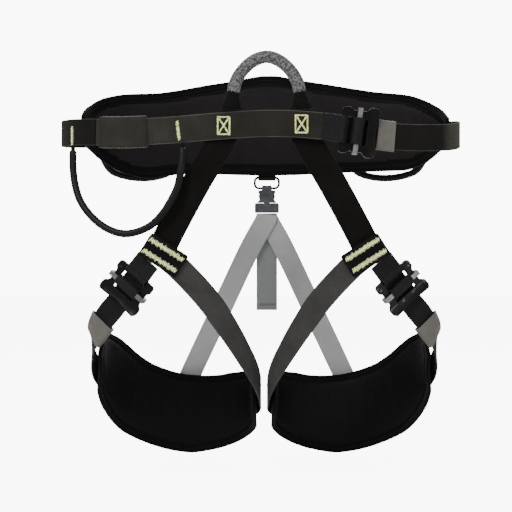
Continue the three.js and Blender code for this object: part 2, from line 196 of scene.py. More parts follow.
def ribbon(name, path, size, looks, lift=0.0, uneven=0.15 * MM, seed=1, selvage=0.12):
    section = pill(*size, selvage=selvage)
    a, b = section[:, 0], section[:, 1]
    rings = path.place(a, b[None] + lift + ripple(path.v, a, uneven, seed))
    run = np.stack(np.broadcast_arrays(a[None], path.v[:, None], b[None]), -1)
    return build(name, rings, loft(len(path.at), len(section)), looks, run, crease=70)


def sleeve(name, path, outer, inner, looks):
    """A flat band around a strap, open at both ends, with rolled ends."""
    wide, narrow = pill(*outer, selvage=0), pill(*inner, selvage=0)
    trim = pill(outer[0] - 0.9 * MM, outer[1] - 0.9 * MM, selvage=0)
    count = len(path.at)
    order = [0, *range(count), count - 1, *range(count - 1, -1, -1)]
    sections = [trim, *[wide] * count, trim, *[narrow] * count]
    vertices, run = [], []
    for i, section in zip(order, sections):
        a, b = section[:, :1], section[:, 1:]
        vertices.append(path.at[i] + path.across[i] * a + path.out[i] * b)
        run.append(np.hstack([a, np.full_like(a, path.v[i]), b]))
    return build(name, np.array(vertices), loft(len(order), len(wide), ring=True), looks, np.array(run))


def tube(name, line, radius, looks, around=20, step=2 * MM, rounded=True, ridge=0.0, pitch=2.4 * MM):
    """A round tube with softened ends. ridge is the height of rings around it."""
    path = Path(line, step, across=(0.31, 0.9, 0.3))
    ends = np.minimum(path.v, path.total - path.v)
    size = radius * np.sqrt(np.clip(1 - (1 - np.clip(ends / (radius * 0.5), 0, 1)) ** 2, 0.2, 1)) \
        if rounded else np.full_like(ends, radius)
    size = size + ridge * np.sin(2 * math.pi * path.v / pitch)
    turn = np.linspace(0, 2 * math.pi, around, endpoint=False)
    rings = path.place(size[:, None] * np.cos(turn), size[:, None] * np.sin(turn))
    run = np.stack(np.broadcast_arrays((radius * turn)[None], path.v[:, None], 0 * turn[None]), -1)
    return build(name, rings, loft(len(path.at), around), looks, run)


# ---- threads ---------------------------------------------------------------------------------

def threads(name, rows, radius, hump, looks, sides=6):
    """One mesh of separate sewn threads. Each row is (starts, ends, normals)."""
    starts, ends, normals = (np.vstack([row[k] for row in rows]) for k in range(3))
    t = np.array([0, 0.12, 0.35, 0.65, 0.88, 1.0])
    arch = np.sin(math.pi * t)
    line = starts[:, None] + (ends - starts)[:, None] * t[:, None]
    line = line + normals[:, None] * ((hump + radius) * arch - radius)[:, None]
    aside = unit(np.cross(normals, ends - starts))[:, None, None]
    lifted = normals[:, None, None]
    turn = np.linspace(0, 2 * math.pi, sides, endpoint=False)[:, None]
    size = (radius * (0.45 + 0.55 * np.sqrt(arch)))[:, None, None]
    rings = line[:, :, None] + size * (aside * np.cos(turn) + lifted * np.sin(turn))
    one = loft(len(t), sides)
    each = len(t) * sides
    faces = [[i + each * k for i in face] for k in range(len(starts)) for face in one]
    return build(name, rings, faces, looks, crease=80)


def seam(path, a, b, span, length=3.0 * MM, pitch=4.0 * MM, side=1):
    """A row of stitches along a path, a across it and b out of it."""
    low, high = span
    v = np.arange(low, high - length, pitch)
    first, _, _, out = path.spot(v, a, b)
    last, _, _, _ = path.spot(v + length, a, b)
    return first, last, out * side


def cross_seam(path, v, half, b, length=3.0 * MM, pitch=4.0 * MM, side=1):
    """A row of stitches across a path at length v."""
    a = np.arange(-half, half - length, pitch)
    first, _, _, out = path.spot(np.full(len(a), v), a, b)
    last, _, _, _ = path.spot(np.full(len(a), v), a + length, b)
    return first, last, out * side


def satin(centre, long, wide, normal, length, width, pitch=0.85 * MM, rag=0.12):
    """Threads packed side by side across a bar tack. They gather in bunches with ragged ends."""
    long, wide, normal = (unit(x) for x in (long, wide, normal))
    t = np.arange(-length / 2, length / 2, pitch)[:, None]
    bunch = np.sin(2 * math.pi * t / (4.3 * MM) + random.uniform(0, 6))
    slack = width * rag * (random.uniform(-1, 1, (len(t), 2)) + 0.9 * bunch)
    slope = np.where(np.arange(len(t)) % 2, 1, -1)[:, None] * pitch * 0.9
    middle = np.asarray(centre) + long * t + normal * bunch * 0.15 * MM
    starts = middle - wide * (width / 2 + slack[:, :1]) - long * slope
    ends = middle + wide * (width / 2 + slack[:, 1:]) + long * slope
    return starts, ends, np.broadcast_to(normal, starts.shape)


# ---- materials -------------------------------------------------------------------------------

class Look:
    """A procedural material. Numbers that are the same all over stay on the shader's sockets."""

    def __init__(self, name, roughness, metallic=0.0, **fixed):
        self.material = bpy.data.materials.new(name)
        self.material.use_nodes = True
        self.tree = self.material.node_tree
        self.shader = self.tree.nodes["Principled BSDF"]
        self.shader.inputs["Metallic"].default_value = metallic
        self.shader.inputs["Roughness"].default_value = roughness
        for socket, value in fixed.items():
            self.shader.inputs[socket.replace("_", " ")].default_value = value
        self.heights = []

    def node(self, kind, *values, **settings):
        made = self.tree.nodes.new(kind)
        for key, value in settings.items():
            setattr(made, key, value)
        for socket, value in zip(made.inputs, values):
            self.put(socket, value)
        return made

    def put(self, socket, value):
        if isinstance(value, bpy.types.NodeSocket):
            self.tree.links.new(value, socket)
        elif value is not None:
            socket.default_value = value

    def math(self, operation, *values, clamp=False):
        return self.node("ShaderNodeMath", *values, operation=operation, use_clamp=clamp).outputs[0]

    def run(self):
        """(across, along, out) of the strap or pad, in metres."""
        made = self.node("ShaderNodeAttribute", attribute_name="run")
        split = self.node("ShaderNodeSeparateXYZ", made.outputs["Vector"])
        return split.outputs

    def place(self):
        return self.node("ShaderNodeTexCoord").outputs["Object"]

    def noise(self, scale, detail=3.0, where=None, roughness=0.55):
        made = self.node("ShaderNodeTexNoise")
        self.put(made.inputs["Vector"], self.place() if where is None else where)
        for socket, value in (("Scale", scale), ("Detail", detail), ("Roughness", roughness)):
            made.inputs[socket].default_value = value
        return made.outputs["Fac"]

    def wave(self, value, pitch, phase=0.0):
        """0 to 1, with one crest for each pitch."""
        turn = self.math("MULTIPLY_ADD", value, 2 * math.pi / pitch, phase)
        return self.math("MULTIPLY_ADD", self.math("SINE", turn), 0.5, 0.5)

    def chevrons(self, across, along, column, slope=1.0):
        """A length that zigzags from column to column, for a herringbone weave."""
        zig = self.math("PINGPONG", across, column)
        return self.math("MULTIPLY_ADD", zig, slope, along)

    def near(self, value, at, width):
        """1 where value is past at, falling to 0 over width below it."""
        return self.math("DIVIDE", self.math("SUBTRACT", value, at - width), width, clamp=True)

    def mix(self, factor, first, second):
        made = self.node("ShaderNodeMix", data_type="RGBA")
        self.put(made.inputs["Factor"], factor)
        for socket, colour in ((made.inputs[6], first), (made.inputs[7], second)):
            self.put(socket, (*colour, 1.0) if isinstance(colour, tuple) else colour)
        return made.outputs[2]

    def colour(self, value):
        self.put(self.shader.inputs["Base Color"], (*value, 1.0) if isinstance(value, tuple) else value)

    def rough(self, value, low, high):
        """Roughness from low to high as value goes from 0 to 1."""
        self.put(self.shader.inputs["Roughness"], self.math("MULTIPLY_ADD", value, high - low, low))

    def bump(self, height, depth, strength=1.0):
        """height from 0 to 1 stands depth proud. Later bumps sit on the earlier ones."""
        made = self.node("ShaderNodeBump")
        made.inputs["Strength"].default_value = strength
        made.inputs["Distance"].default_value = depth
        self.put(made.inputs["Height"], height)
        if self.heights:
            self.put(made.inputs["Normal"], self.heights[-1])
        self.heights.append(made.outputs["Normal"])
        self.put(self.shader.inputs["Normal"], made.outputs["Normal"])


def webbing_look(name, dark, light, width, pitch, column, edge, roughness=0.8, rib=0.0, painted_shading=None,
                 even=False, shine=0.1):
    """Woven strap: a herringbone of pitch and column, worn lighter along its edges.

    Painted light and shade along X come as (x where it starts, x where it is full, how many times lighter),
    and even mirrors it."""
    look = Look(name, roughness, Sheen_Weight=0.03, Sheen_Roughness=0.4, Specular_IOR_Level=shine)
    across, along, _ = look.run()
    twill = look.wave(look.chevrons(across, along, column), pitch)
    picks = look.wave(along, pitch * 0.77)
    ends = look.wave(across, rib or pitch * 0.6)
    weave = look.math("MULTIPLY", look.math("ADD", twill, picks), look.math("MULTIPLY_ADD", ends, 0.35, 0.3))
    patchy = look.noise(38.0, 4.0)
    fluff = look.noise(900.0, 2.0)
    shade = look.math("MULTIPLY_ADD", patchy, 0.7, look.math("MULTIPLY", weave, 0.75))
    shade = look.math("SUBTRACT", shade, 0.35, clamp=True)
    worn = look.near(look.math("ABSOLUTE", across), width / 2, 1.3 * MM)
    worn = look.math("MULTIPLY", worn, look.math("MULTIPLY_ADD", patchy, 1.3, -0.05, clamp=True))
    body = look.mix(shade, dark, light)
    # Painted light or shade: the strap turns lighter or darker past a given x.
    if painted_shading:
        start, full, times = painted_shading
        x = look.node("ShaderNodeSeparateXYZ", look.place()).outputs[0]
        x = look.math("ABSOLUTE", x) if even else x
        share = look.math("DIVIDE", look.math("SUBTRACT", x, start), full - start, clamp=True)
        lighter = [tuple(c * times for c in tone) for tone in (dark, light)]
        body = look.mix(share, body, look.mix(shade, *lighter))
    look.colour(look.mix(worn, body, edge))
    look.rough(fluff, roughness - 0.1, roughness + 0.12)
    look.bump(weave, 0.4 * MM, 0.9)
    look.bump(fluff, 0.12 * MM, 0.5)
    return look.material


def pad_look(name, dark, light, roughness, grain, tint=None):
    """Smooth foam-backed cloth: a fine knit grid with soft creases and handling marks."""
    look = Look(name, roughness, Sheen_Weight=0.01, Sheen_Roughness=0.35, Specular_IOR_Level=0.07)
    across, along, _ = look.run()
    knit = look.math("MULTIPLY", look.wave(across, grain), look.wave(along, grain * 0.9))
    cloudy = look.noise(16.0, 5.0)
    fine = look.noise(420.0, 3.0)
    shade = look.math("ADD", look.math("MULTIPLY", cloudy, 0.75), look.math("MULTIPLY", knit, 0.3))
    shade = look.math("SUBTRACT", shade, 0.15, clamp=True)
    look.colour(look.mix(shade, dark, light))
    look.rough(cloudy, roughness - 0.12, roughness + 0.1)
    look.bump(look.noise(22.0, 3.0), 1.6 * MM, 0.35)
    look.bump(knit, 0.22 * MM, 0.6)
    look.bump(fine, 0.1 * MM, 0.4)
    return look.material


def elastic_look(name, dark, light):
    """Braided elastic: narrow rubber ribs along it and a shallow herringbone over them."""
    look = Look(name, 0.75, Sheen_Weight=0.15, Sheen_Roughness=0.5, Specular_IOR_Level=0.3)
    across, along, _ = look.run()
    ribs = look.wave(across, 1.55 * MM)
    twill = look.wave(look.chevrons(across, along, 1.55 * MM, 0.8), 1.3 * MM)
    patchy = look.noise(30.0, 4.0)
    shade = look.math("ADD", look.math("MULTIPLY", patchy, 0.55), look.math("MULTIPLY", twill, 0.3))
    shade = look.math("MULTIPLY_ADD", ribs, 0.25, shade)
    look.colour(look.mix(look.math("SUBTRACT", shade, 0.1, clamp=True), dark, light))
    look.bump(ribs, 0.3 * MM, 0.7)
    look.bump(twill, 0.15 * MM, 0.6)
    return look.material


def thread_look(name, dark, light, roughness=0.6):
    look = Look(name, roughness, Sheen_Weight=0.1, Sheen_Roughness=0.3, Specular_IOR_Level=0.25)
    patchy = look.noise(330.0, 2.0)
    look.colour(look.mix(look.math("MULTIPLY_ADD", patchy, 2.6, -0.7, clamp=True), dark, light))
    look.bump(look.noise(2600.0, 2.0), 0.12 * MM, 0.7)
    return look.material


def rope_look(name, dark, light):
    """Braided cover: a pale yarn flecked with darker ones."""
    look = Look(name, 0.7, Sheen_Weight=0.2, Sheen_Roughness=0.4, Specular_IOR_Level=0.35)
    fleck = look.noise(360.0, 2.0)
    broad = look.noise(45.0, 2.0)
    shade = look.math("MULTIPLY_ADD", fleck, 3.2, -1.25, clamp=True)
    shade = look.math("MULTIPLY", shade, look.math("MULTIPLY_ADD", broad, 0.7, 0.55), clamp=True)
    look.colour(look.mix(shade, dark, light))
    across, _, _ = look.run()
    look.bump(look.wave(across, 0.5 * MM), 0.1 * MM, 0.6)
    look.bump(look.noise(1800.0, 2.0), 0.12 * MM, 0.5)
    return look.material


def hard_look(name, dark, light, roughness, metallic, wear, grain=1400.0, specular=0.5):
    """Anodised or moulded: a fine grain, scuffs, and paler worn edges."""
    look = Look(name, roughness, metallic, Coat_Weight=0.06 if metallic else 0.0, Coat_Roughness=0.3,
                Specular_IOR_Level=specular)
    scuffs = look.noise(70.0, 6.0, roughness=0.7)
    fine = look.noise(grain, 2.0)
    edges = look.node("ShaderNodeNewGeometry").outputs["Pointiness"]
    edges = look.math("MULTIPLY_ADD", edges, 9.0, -4.75, clamp=True)
    edges = look.math("MULTIPLY", edges, look.math("MULTIPLY_ADD", scuffs, 2.0, -0.4, clamp=True))
    body = look.mix(look.math("MULTIPLY_ADD", scuffs, 1.6, -0.35, clamp=True), dark, light)
    look.colour(look.mix(edges, body, wear))
    look.rough(scuffs, roughness - 0.12, roughness + 0.15)
    look.bump(scuffs, 0.12 * MM, 0.3)
    look.bump(fine, 0.05 * MM, 0.4)
    return look.material


def keeper_look(name, dark, light):
    """Soft rubberised elastic: a close grain with rubbed patches."""
    look = Look(name, 0.55, Specular_IOR_Level=0.4, Sheen_Weight=0.05)
    across, along, _ = look.run()
    grid = look.math("MULTIPLY", look.wave(across, 1.1 * MM), look.wave(along, 1.1 * MM))
    patchy = look.noise(55.0, 5.0)
    shade = look.math("MULTIPLY_ADD", grid, 0.25, look.math("MULTIPLY_ADD", patchy, 1.2, -0.3))
    look.colour(look.mix(look.math("ADD", shade, 0.0, clamp=True), dark, light))
    look.rough(patchy, 0.42, 0.66)
    look.bump(grid, 0.16 * MM, 0.6)
    return look.material


LOOKS = {
    # belt: painted light, up to 1.7 times lighter towards -X past x = -0.03 m.
    "belt": webbing_look("belt_webbing", (0.0062, 0.0058, 0.0044), (0.023, 0.0222, 0.0172), 35 * MM,
                         2.3 * MM, 4.4 * MM, (0.11, 0.105, 0.085), painted_shading=(-0.03, -0.13, 1.7)),
    # belt_rear: painted shade, a darker copy of the belt webbing, painted lighter again at its right end past
    # x = 0.234 m.
    "belt_rear": webbing_look("belt_webbing_rear_painted_shade", (0.0024, 0.0022, 0.0018), (0.0085, 0.008, 0.0063), 35 * MM,
                              2.3 * MM, 4.4 * MM, (0.075, 0.07, 0.055), painted_shading=(0.234, 0.247, 6.5)),
    "sleeve_cloth": webbing_look("sleeve_cloth", (0.009, 0.0087, 0.0072), (0.033, 0.032, 0.027), 42 * MM,
                                 1.9 * MM, 40 * MM, (0.2, 0.19, 0.17)),
    "riser": webbing_look("riser_webbing", (0.0012, 0.0011, 0.0009), (0.0085, 0.0078, 0.0065), 37 * MM,
                          3.2 * MM, 3.2 * MM, (0.012, 0.011, 0.01), shine=0.05),
    # leg: painted shade, the strap is about a fifth as bright where |x| passes 0.12 m.
    "leg": webbing_look("leg_webbing", (0.0145, 0.014, 0.0132), (0.056, 0.0543, 0.0512), 32 * MM,
                        2.3 * MM, 16 * MM, (0.05, 0.048, 0.0455), rib=2.9 * MM,
                        painted_shading=(0.12, 0.168, 0.22), even=True),
    "wrap": webbing_look("buckle_webbing", (0.0010, 0.0009, 0.0009), (0.0042, 0.004, 0.0037), 35 * MM,
                         1.9 * MM, 17 * MM, (0.014, 0.0135, 0.0127), roughness=0.45, shine=0.14),
    "patch": webbing_look("patch_cloth", (0.002, 0.0016, 0.0019), (0.008, 0.007, 0.008), 33 * MM,
                          1.5 * MM, 30 * MM, (0.012, 0.011, 0.012), shine=0.05),
    "lining": pad_look("pad_lining", (0.0005, 0.0004, 0.00045), (0.0022, 0.0018, 0.002), 0.62, 1.5 * MM),
    "panel": pad_look("pad_panel", (0.0042, 0.0032, 0.0036), (0.0155, 0.0121, 0.0132), 0.55, 1.2 * MM),
    "leg_panel": pad_look("leg_pad_panel", (0.0012, 0.001, 0.0009), (0.005, 0.0044, 0.004), 0.55, 1.2 * MM),
    "cover": pad_look("pad_cover", (0.0025, 0.0024, 0.0023), (0.009, 0.0088, 0.0082), 0.7, 1.9 * MM),
    "binding": webbing_look("pad_binding", (0.0012, 0.001, 0.001), (0.0058, 0.005, 0.0052), 400 * MM,
                            1.4 * MM, 30 * MM, (0.006, 0.006, 0.006), shine=0.05),
    "elastic": elastic_look("elastic", (0.17, 0.171, 0.170), (0.33, 0.332, 0.33)),
    "elastic_tail": elastic_look("elastic_tail", (0.10, 0.103, 0.102), (0.20, 0.205, 0.202)),
    "lime": thread_look("lime_thread", (0.34, 0.36, 0.10), (0.97, 1.0, 0.52)),
    "black_thread": thread_look("black_thread", (0.0012, 0.0012, 0.0012), (0.010, 0.010, 0.0095)),
    "grey_thread": thread_look("grey_thread", (0.05, 0.05, 0.047), (0.19, 0.188, 0.178)),
    "rope": rope_look("rope_cover", (0.016, 0.016, 0.018), (0.165, 0.165, 0.168)),
    "collar": webbing_look("rope_collar", (0.0012, 0.0012, 0.001), (0.007, 0.007, 0.0065), 400 * MM,
                           2.2 * MM, 30 * MM, (0.008, 0.008, 0.008), shine=0.08),
    "keeper": keeper_look("keeper_rubber", (0.043, 0.039, 0.0315), (0.104, 0.096, 0.081)),
    "metal": hard_look("buckle_metal", (0.003, 0.0029, 0.0027), (0.0085, 0.0082, 0.0076), 0.3, 0.8,
                       (0.08, 0.079, 0.075), specular=0.22),
    "bar": hard_look("bar_metal", (0.011, 0.0102, 0.0095), (0.028, 0.026, 0.024), 0.36, 0.75,
                     (0.22, 0.21, 0.2)),
    "plastic": hard_look("side_release_plastic", (0.0105, 0.0108, 0.0125), (0.023, 0.0235, 0.027), 0.42, 0.0,
                         (0.07, 0.072, 0.08), specular=0.16),
    "prong": hard_look("prong_plastic", (0.002, 0.002, 0.002), (0.006, 0.006, 0.0065), 0.4, 0.0,
                       (0.02, 0.02, 0.02), specular=0.2),
    "tube": hard_look("gear_tube", (0.0018, 0.0017, 0.0016), (0.006, 0.0058, 0.0054), 0.46, 0.0,
                      (0.018, 0.0175, 0.0165), specular=0.12),
}


def stitch(name, rows, radius, hump, look="black_thread"):
    settle(threads(name, rows, radius, hump, LOOKS[look]), "saddle")


# ---- pads ------------------------------------------------------------------------------------

def keyed(keys, u):
    """A smooth curve through [share, millimetres] keys, in metres."""
    at, value = np.array(keys, float).T
    fine = np.linspace(0, 1, 601)
    raw = np.interp(fine, at, value)
    weights = np.hanning(19)
    padded = np.r_[2 * raw[0] - raw[9:0:-1], raw, 2 * raw[-1] - raw[-2:-11:-1]]
    soft = np.convolve(padded, weights / weights.sum(), "valid")
    return np.interp(u, fine, soft) * MM


def rise(d, start, stop):
    """0 before start and 1 after stop, smoothly."""
    t = np.clip((d - start * MM) / ((stop - start) * MM), 0, 1)
    return t * t * (3 - 2 * t)


def pad_faces(d, hem, panel):
    """Half thickness at distance d from the rim: bound hem, groove, soft border, seam, raised panel."""
    round_rim = np.sqrt(np.clip(1 - (1 - np.clip(d / (1.8 * MM), 0, 1)) ** 2, 0, 1))
    height = (0.9 + 2.1 * round_rim) * MM
    height -= 0.9 * MM * rise(d, hem - 0.4, hem + 0.3)
    height += 2.1 * MM * rise(d, hem + 0.6, hem + 5.5)
    height -= 0.9 * MM * rise(d, panel - 1.6, panel - 0.2) * (1 - rise(d, panel + 0.2, panel + 1.6))
    return height + 0.9 * MM * rise(d, panel, panel + 9)


def puff(piece, free, pressure, cap):
    """Swells a pad with a short cloth run. free is how far each point may follow it, 0 to 1."""
    mesh = piece.data
    rest = np.empty(len(mesh.vertices) * 3)
    mesh.vertices.foreach_get("co", rest)
    rest = rest.reshape(-1, 3)
    group = piece.vertex_groups.new(name="held")
    for level in np.linspace(0, 1, 6):
        held = np.nonzero(np.round((1 - free) * 5) / 5 == round(level * 5) / 5)[0]
        if level > 0 and len(held):
            group.add(held.tolist(), float(level), "REPLACE")
    cloth = piece.modifiers.new("cloth", "CLOTH")
    cloth.settings.quality = 4
    cloth.settings.mass = 0.25
    cloth.settings.tension_stiffness = 12
    cloth.settings.compression_stiffness = 12
    cloth.settings.bending_stiffness = 0.4
    cloth.settings.vertex_group_mass = "held"
    cloth.settings.use_pressure = True
    cloth.settings.uniform_pressure_force = pressure
    cloth.settings.effector_weights.gravity = 0
    cloth.collision_settings.use_collision = False
    scene = bpy.context.scene
    for step in range(1, 21):
        scene.frame_set(step)
    evaluated = piece.evaluated_get(bpy.context.evaluated_depsgraph_get())
    moved = np.empty(len(mesh.vertices) * 3)
    evaluated.data.vertices.foreach_get("co", moved)
    shift = moved.reshape(-1, 3) - rest
    length = np.linalg.norm(shift, axis=1, keepdims=True)
    shift *= np.minimum(1, cap / np.maximum(length, 1e-9)) * free[:, None]
    piece.modifiers.remove(cloth)
    piece.vertex_groups.clear()
    mesh.vertices.foreach_set("co", (rest + shift).ravel())
    scene.frame_set(1)
    mesh.update()


def make_pad(name, points, upper, lower, sign, columns, rows, hem, panel, nodes, middle, emboss=None):
    """A bound foam pad: one closed skin with its hem, border and raised panel, and its seams."""
    share = 0.5 + 0.5 * np.sin(math.pi / 2 * np.linspace(-1, 1, columns))
    path = Path(smooth_line(points), at=share)
    high, low = keyed(upper, path.u), keyed(lower, path.u)
    s = np.sin(math.pi / 2 * np.linspace(-1, 1, rows))
    a = np.where(s > 0, s * high[:, None], s * low[:, None])
    rim_v = np.r_[path.v, path.v[::-1], path.v[:1]]
    rim_a = np.r_[high, -low[::-1], high[:1]]
    rim_length = np.r_[0, np.cumsum(np.hypot(np.diff(rim_v), np.diff(rim_a)))]
    fine = np.linspace(0, rim_length[-1], 1400)
    rim = np.stack([np.interp(fine, rim_length, rim_v), np.interp(fine, rim_length, rim_a)], 1)
    flat = np.stack(np.broadcast_arrays(path.v[:, None], a), -1)
    d = np.min(np.linalg.norm(flat[:, :, None] - rim[None, None], axis=-1), axis=2)
    d[[0, -1]] = 0
    d[:, [0, -1]] = 0
    inner = pad_faces(d, hem, panel)
    outer = pad_faces(d, hem, panel + 4) - 0.4 * MM
    if emboss is not None:
        inner -= emboss(path.v[:, None] - path.total / 2, a)
    front, back = path.place(a, -inner), path.place(a, outer)
    rings = np.concatenate([front, back[:, ::-1]], 1)
    vertices = flip(rings.reshape(-1, 3), sign)
    side_run = np.stack(np.broadcast_arrays(a, path.v[:, None], -inner), -1)
    back_run = np.stack(np.broadcast_arrays(a, path.v[:, None], outer), -1)
    run = np.concatenate([side_run, back_run[:, ::-1]], 1)
    distance = np.concatenate([d, d[:, ::-1]], 1).ravel()
    looks = [LOOKS[k] for k in ("lining", middle, "cover", "binding")]
    pad = build(name, vertices, loft(columns, 2 * rows), looks, run, crease=75)
    around = 2 * rows
    for face in pad.data.polygons:
        corner = list(face.vertices)
        away = float(np.mean(distance[corner]))
        outside = sum(v % around >= rows for v in corner) * 2 > len(corner)
        face.material_index = 3 if away < hem * MM else 2 if outside else 1 if away > panel * MM else 0
    puff(pad, np.clip((distance - (panel + 1) * MM) / (10 * MM), 0, 1), 3.0, 1.2 * MM)
    settle(pad, "saddle", nodes)

    # One stitched row runs along the bound hem on each face.
    pitch, length = 4.2 * MM, 3.0 * MM
    lengths = np.arange(0, rim_length[-1] - length, pitch)
    centre = np.array([path.total / 2, float(np.mean(high - low)) / 2])
    rows_made = []
    for face_sign, looks_out in ((-1, -1), (1, 1)):
        ends = []
        for run_at in (lengths, lengths + length):
            edge = np.stack([np.interp(run_at, rim_length, rim_v), np.interp(run_at, rim_length, rim_a)], 1)
            ahead = np.stack([np.interp(run_at + MM, rim_length, rim_v),
                              np.interp(run_at + MM, rim_length, rim_a)], 1)
            heading = unit(ahead - edge)
            inward = np.stack([heading[:, 1], -heading[:, 0]], 1)
            turned = np.sum(inward * (centre - edge), 1, keepdims=True) < 0
            inward = np.where(turned & (np.abs(heading[:, 1:]) < 0.95), -inward, inward)
            spot = edge + inward * (hem - 2.2) * MM
            where, _, _, out = path.spot(spot[:, 0], spot[:, 1], np.full(len(spot), face_sign * 2.75 * MM))
            ends.append(where)
        rows_made.append((flip(ends[0], sign), flip(ends[1], sign), flip(out * looks_out, sign)))
    stitches = threads(f"{name}_hem_stitches", rows_made, 0.38 * MM, 0.25 * MM, LOOKS["black_thread"])
    settle(stitches, "saddle")
    return pad


BACK_PAD_ROUTE = [
    (-246, -11, 23), (-237, 22, 25), (-211, 54, 27), (-167, 76, 30), (-90, 89, 34), (0, 93, 35),
    (90, 89, 34), (168, 76, 30), (213, 54, 27), (241, 22, 25), (249, -11, 23),
]
BACK_UPPER = [
    (0, 10), (0.012, 16), (0.03, 21), (0.058, 26), (0.08, 32), (0.11, 38), (0.15, 42), (0.18, 43), (0.25, 43),
    (0.3, 46), (0.36, 52), (0.42, 57), (0.49, 65), (0.53, 65), (0.58, 59), (0.64, 54), (0.7, 49), (0.76, 45),
    (0.82, 43), (0.85, 41), (0.87, 38), (0.9, 32), (0.92, 27), (0.94, 22), (0.97, 15), (1, 8),
]
BACK_LOWER = [
    (0, 17), (0.012, 24), (0.03, 31), (0.058, 38), (0.08, 46), (0.103, 53), (0.13, 62), (0.16, 70),
    (0.19, 75),
    (0.22, 77), (0.25, 75), (0.29, 73), (0.36, 74), (0.43, 76), (0.5, 77), (0.58, 76), (0.65, 73), (0.72, 70),
    (0.78, 67), (0.85, 64), (0.87, 60), (0.9, 53), (0.92, 46), (0.94, 39), (0.97, 31), (1, 18),
]
LEG_PAD_ROUTE = [
    (-218, -45, -278), (-214.5, -9, -312), (-181, 37, -352), (-116, 73, -378), (-56, 67.5, -376),
    (-18, 38, -360), (-13.5, -6, -342),
]
LEG_UPPER = [
    (0, 20), (0.03, 38), (0.06, 50), (0.09, 55), (0.12, 57), (0.2, 58), (0.35, 55), (0.6, 56), (0.8, 52),
    (0.92, 43), (0.97, 32), (1, 16),
]
LEG_LOWER = [
    (0, 14), (0.03, 22), (0.09, 30), (0.2, 40), (0.35, 49), (0.6, 54), (0.7, 48), (0.8, 40), (0.88, 33),
    (0.94, 26), (0.97, 21), (1, 12),
]


def back_slot(v, a):
    """A pressed slot with round ends, high on the middle of the back panel."""
    half, radius, height = 17 * MM, 6.5 * MM, 36 * MM
    away = np.hypot(np.maximum(np.abs(v) - half, 0), a - height) - radius
    edge = np.exp(-((away / (1.3 * MM)) ** 2))
    return 0.9 * MM * edge + 0.45 * MM * (away < 0)


def pads():
    nodes = [f"back_pad_{layer}" for layer in ("lining", "foam", "cover")]
    make_pad("back_pad", BACK_PAD_ROUTE, BACK_UPPER, BACK_LOWER, 1, 181, 49, 9.0, 15.0, nodes, "panel",
             back_slot)
    for side, sign in SIDES:
        nodes = [f"leg_pad_{layer}_{side}" for layer in ("lining", "foam", "cover")]
        make_pad(f"leg_pad_{side}", LEG_PAD_ROUTE, LEG_UPPER, LEG_LOWER, sign, 141, 41, 8.0, 11.5, nodes,
                 "leg_panel")


# ---- waist belt ------------------------------------------------------------------------------

BELT_FRONT = smooth_line([
    (75.4, -100.6, 12.4), (40, -100, 15.2), (0, -98, 16), (-63, -96, 12.4), (-123, -92, 7.8),
    (-183, -82, 5.8), (-221, -70, 7),
])
BELT_REAR = smooth_line([
    (-222.6, -69, 7.1), (-252, -52, 8.3), (-272, -18, 9), (-271, 20, 10.5), (-240, 60, 13), (-183, 84, 17.5),
    (-90, 98, 22), (0, 102.5, 24), (90, 98, 22), (180, 84, 18), (232, 60, 14), (261, 20, 12), (263.5, -18, 8),
    (248, -58, 1.5), (210, -80, -1.2), (176, -86, -0.8), (150, -88.8, 1.8), (124, -91.4, 5.4),
    (107.8, -93.1, 7.75),
])


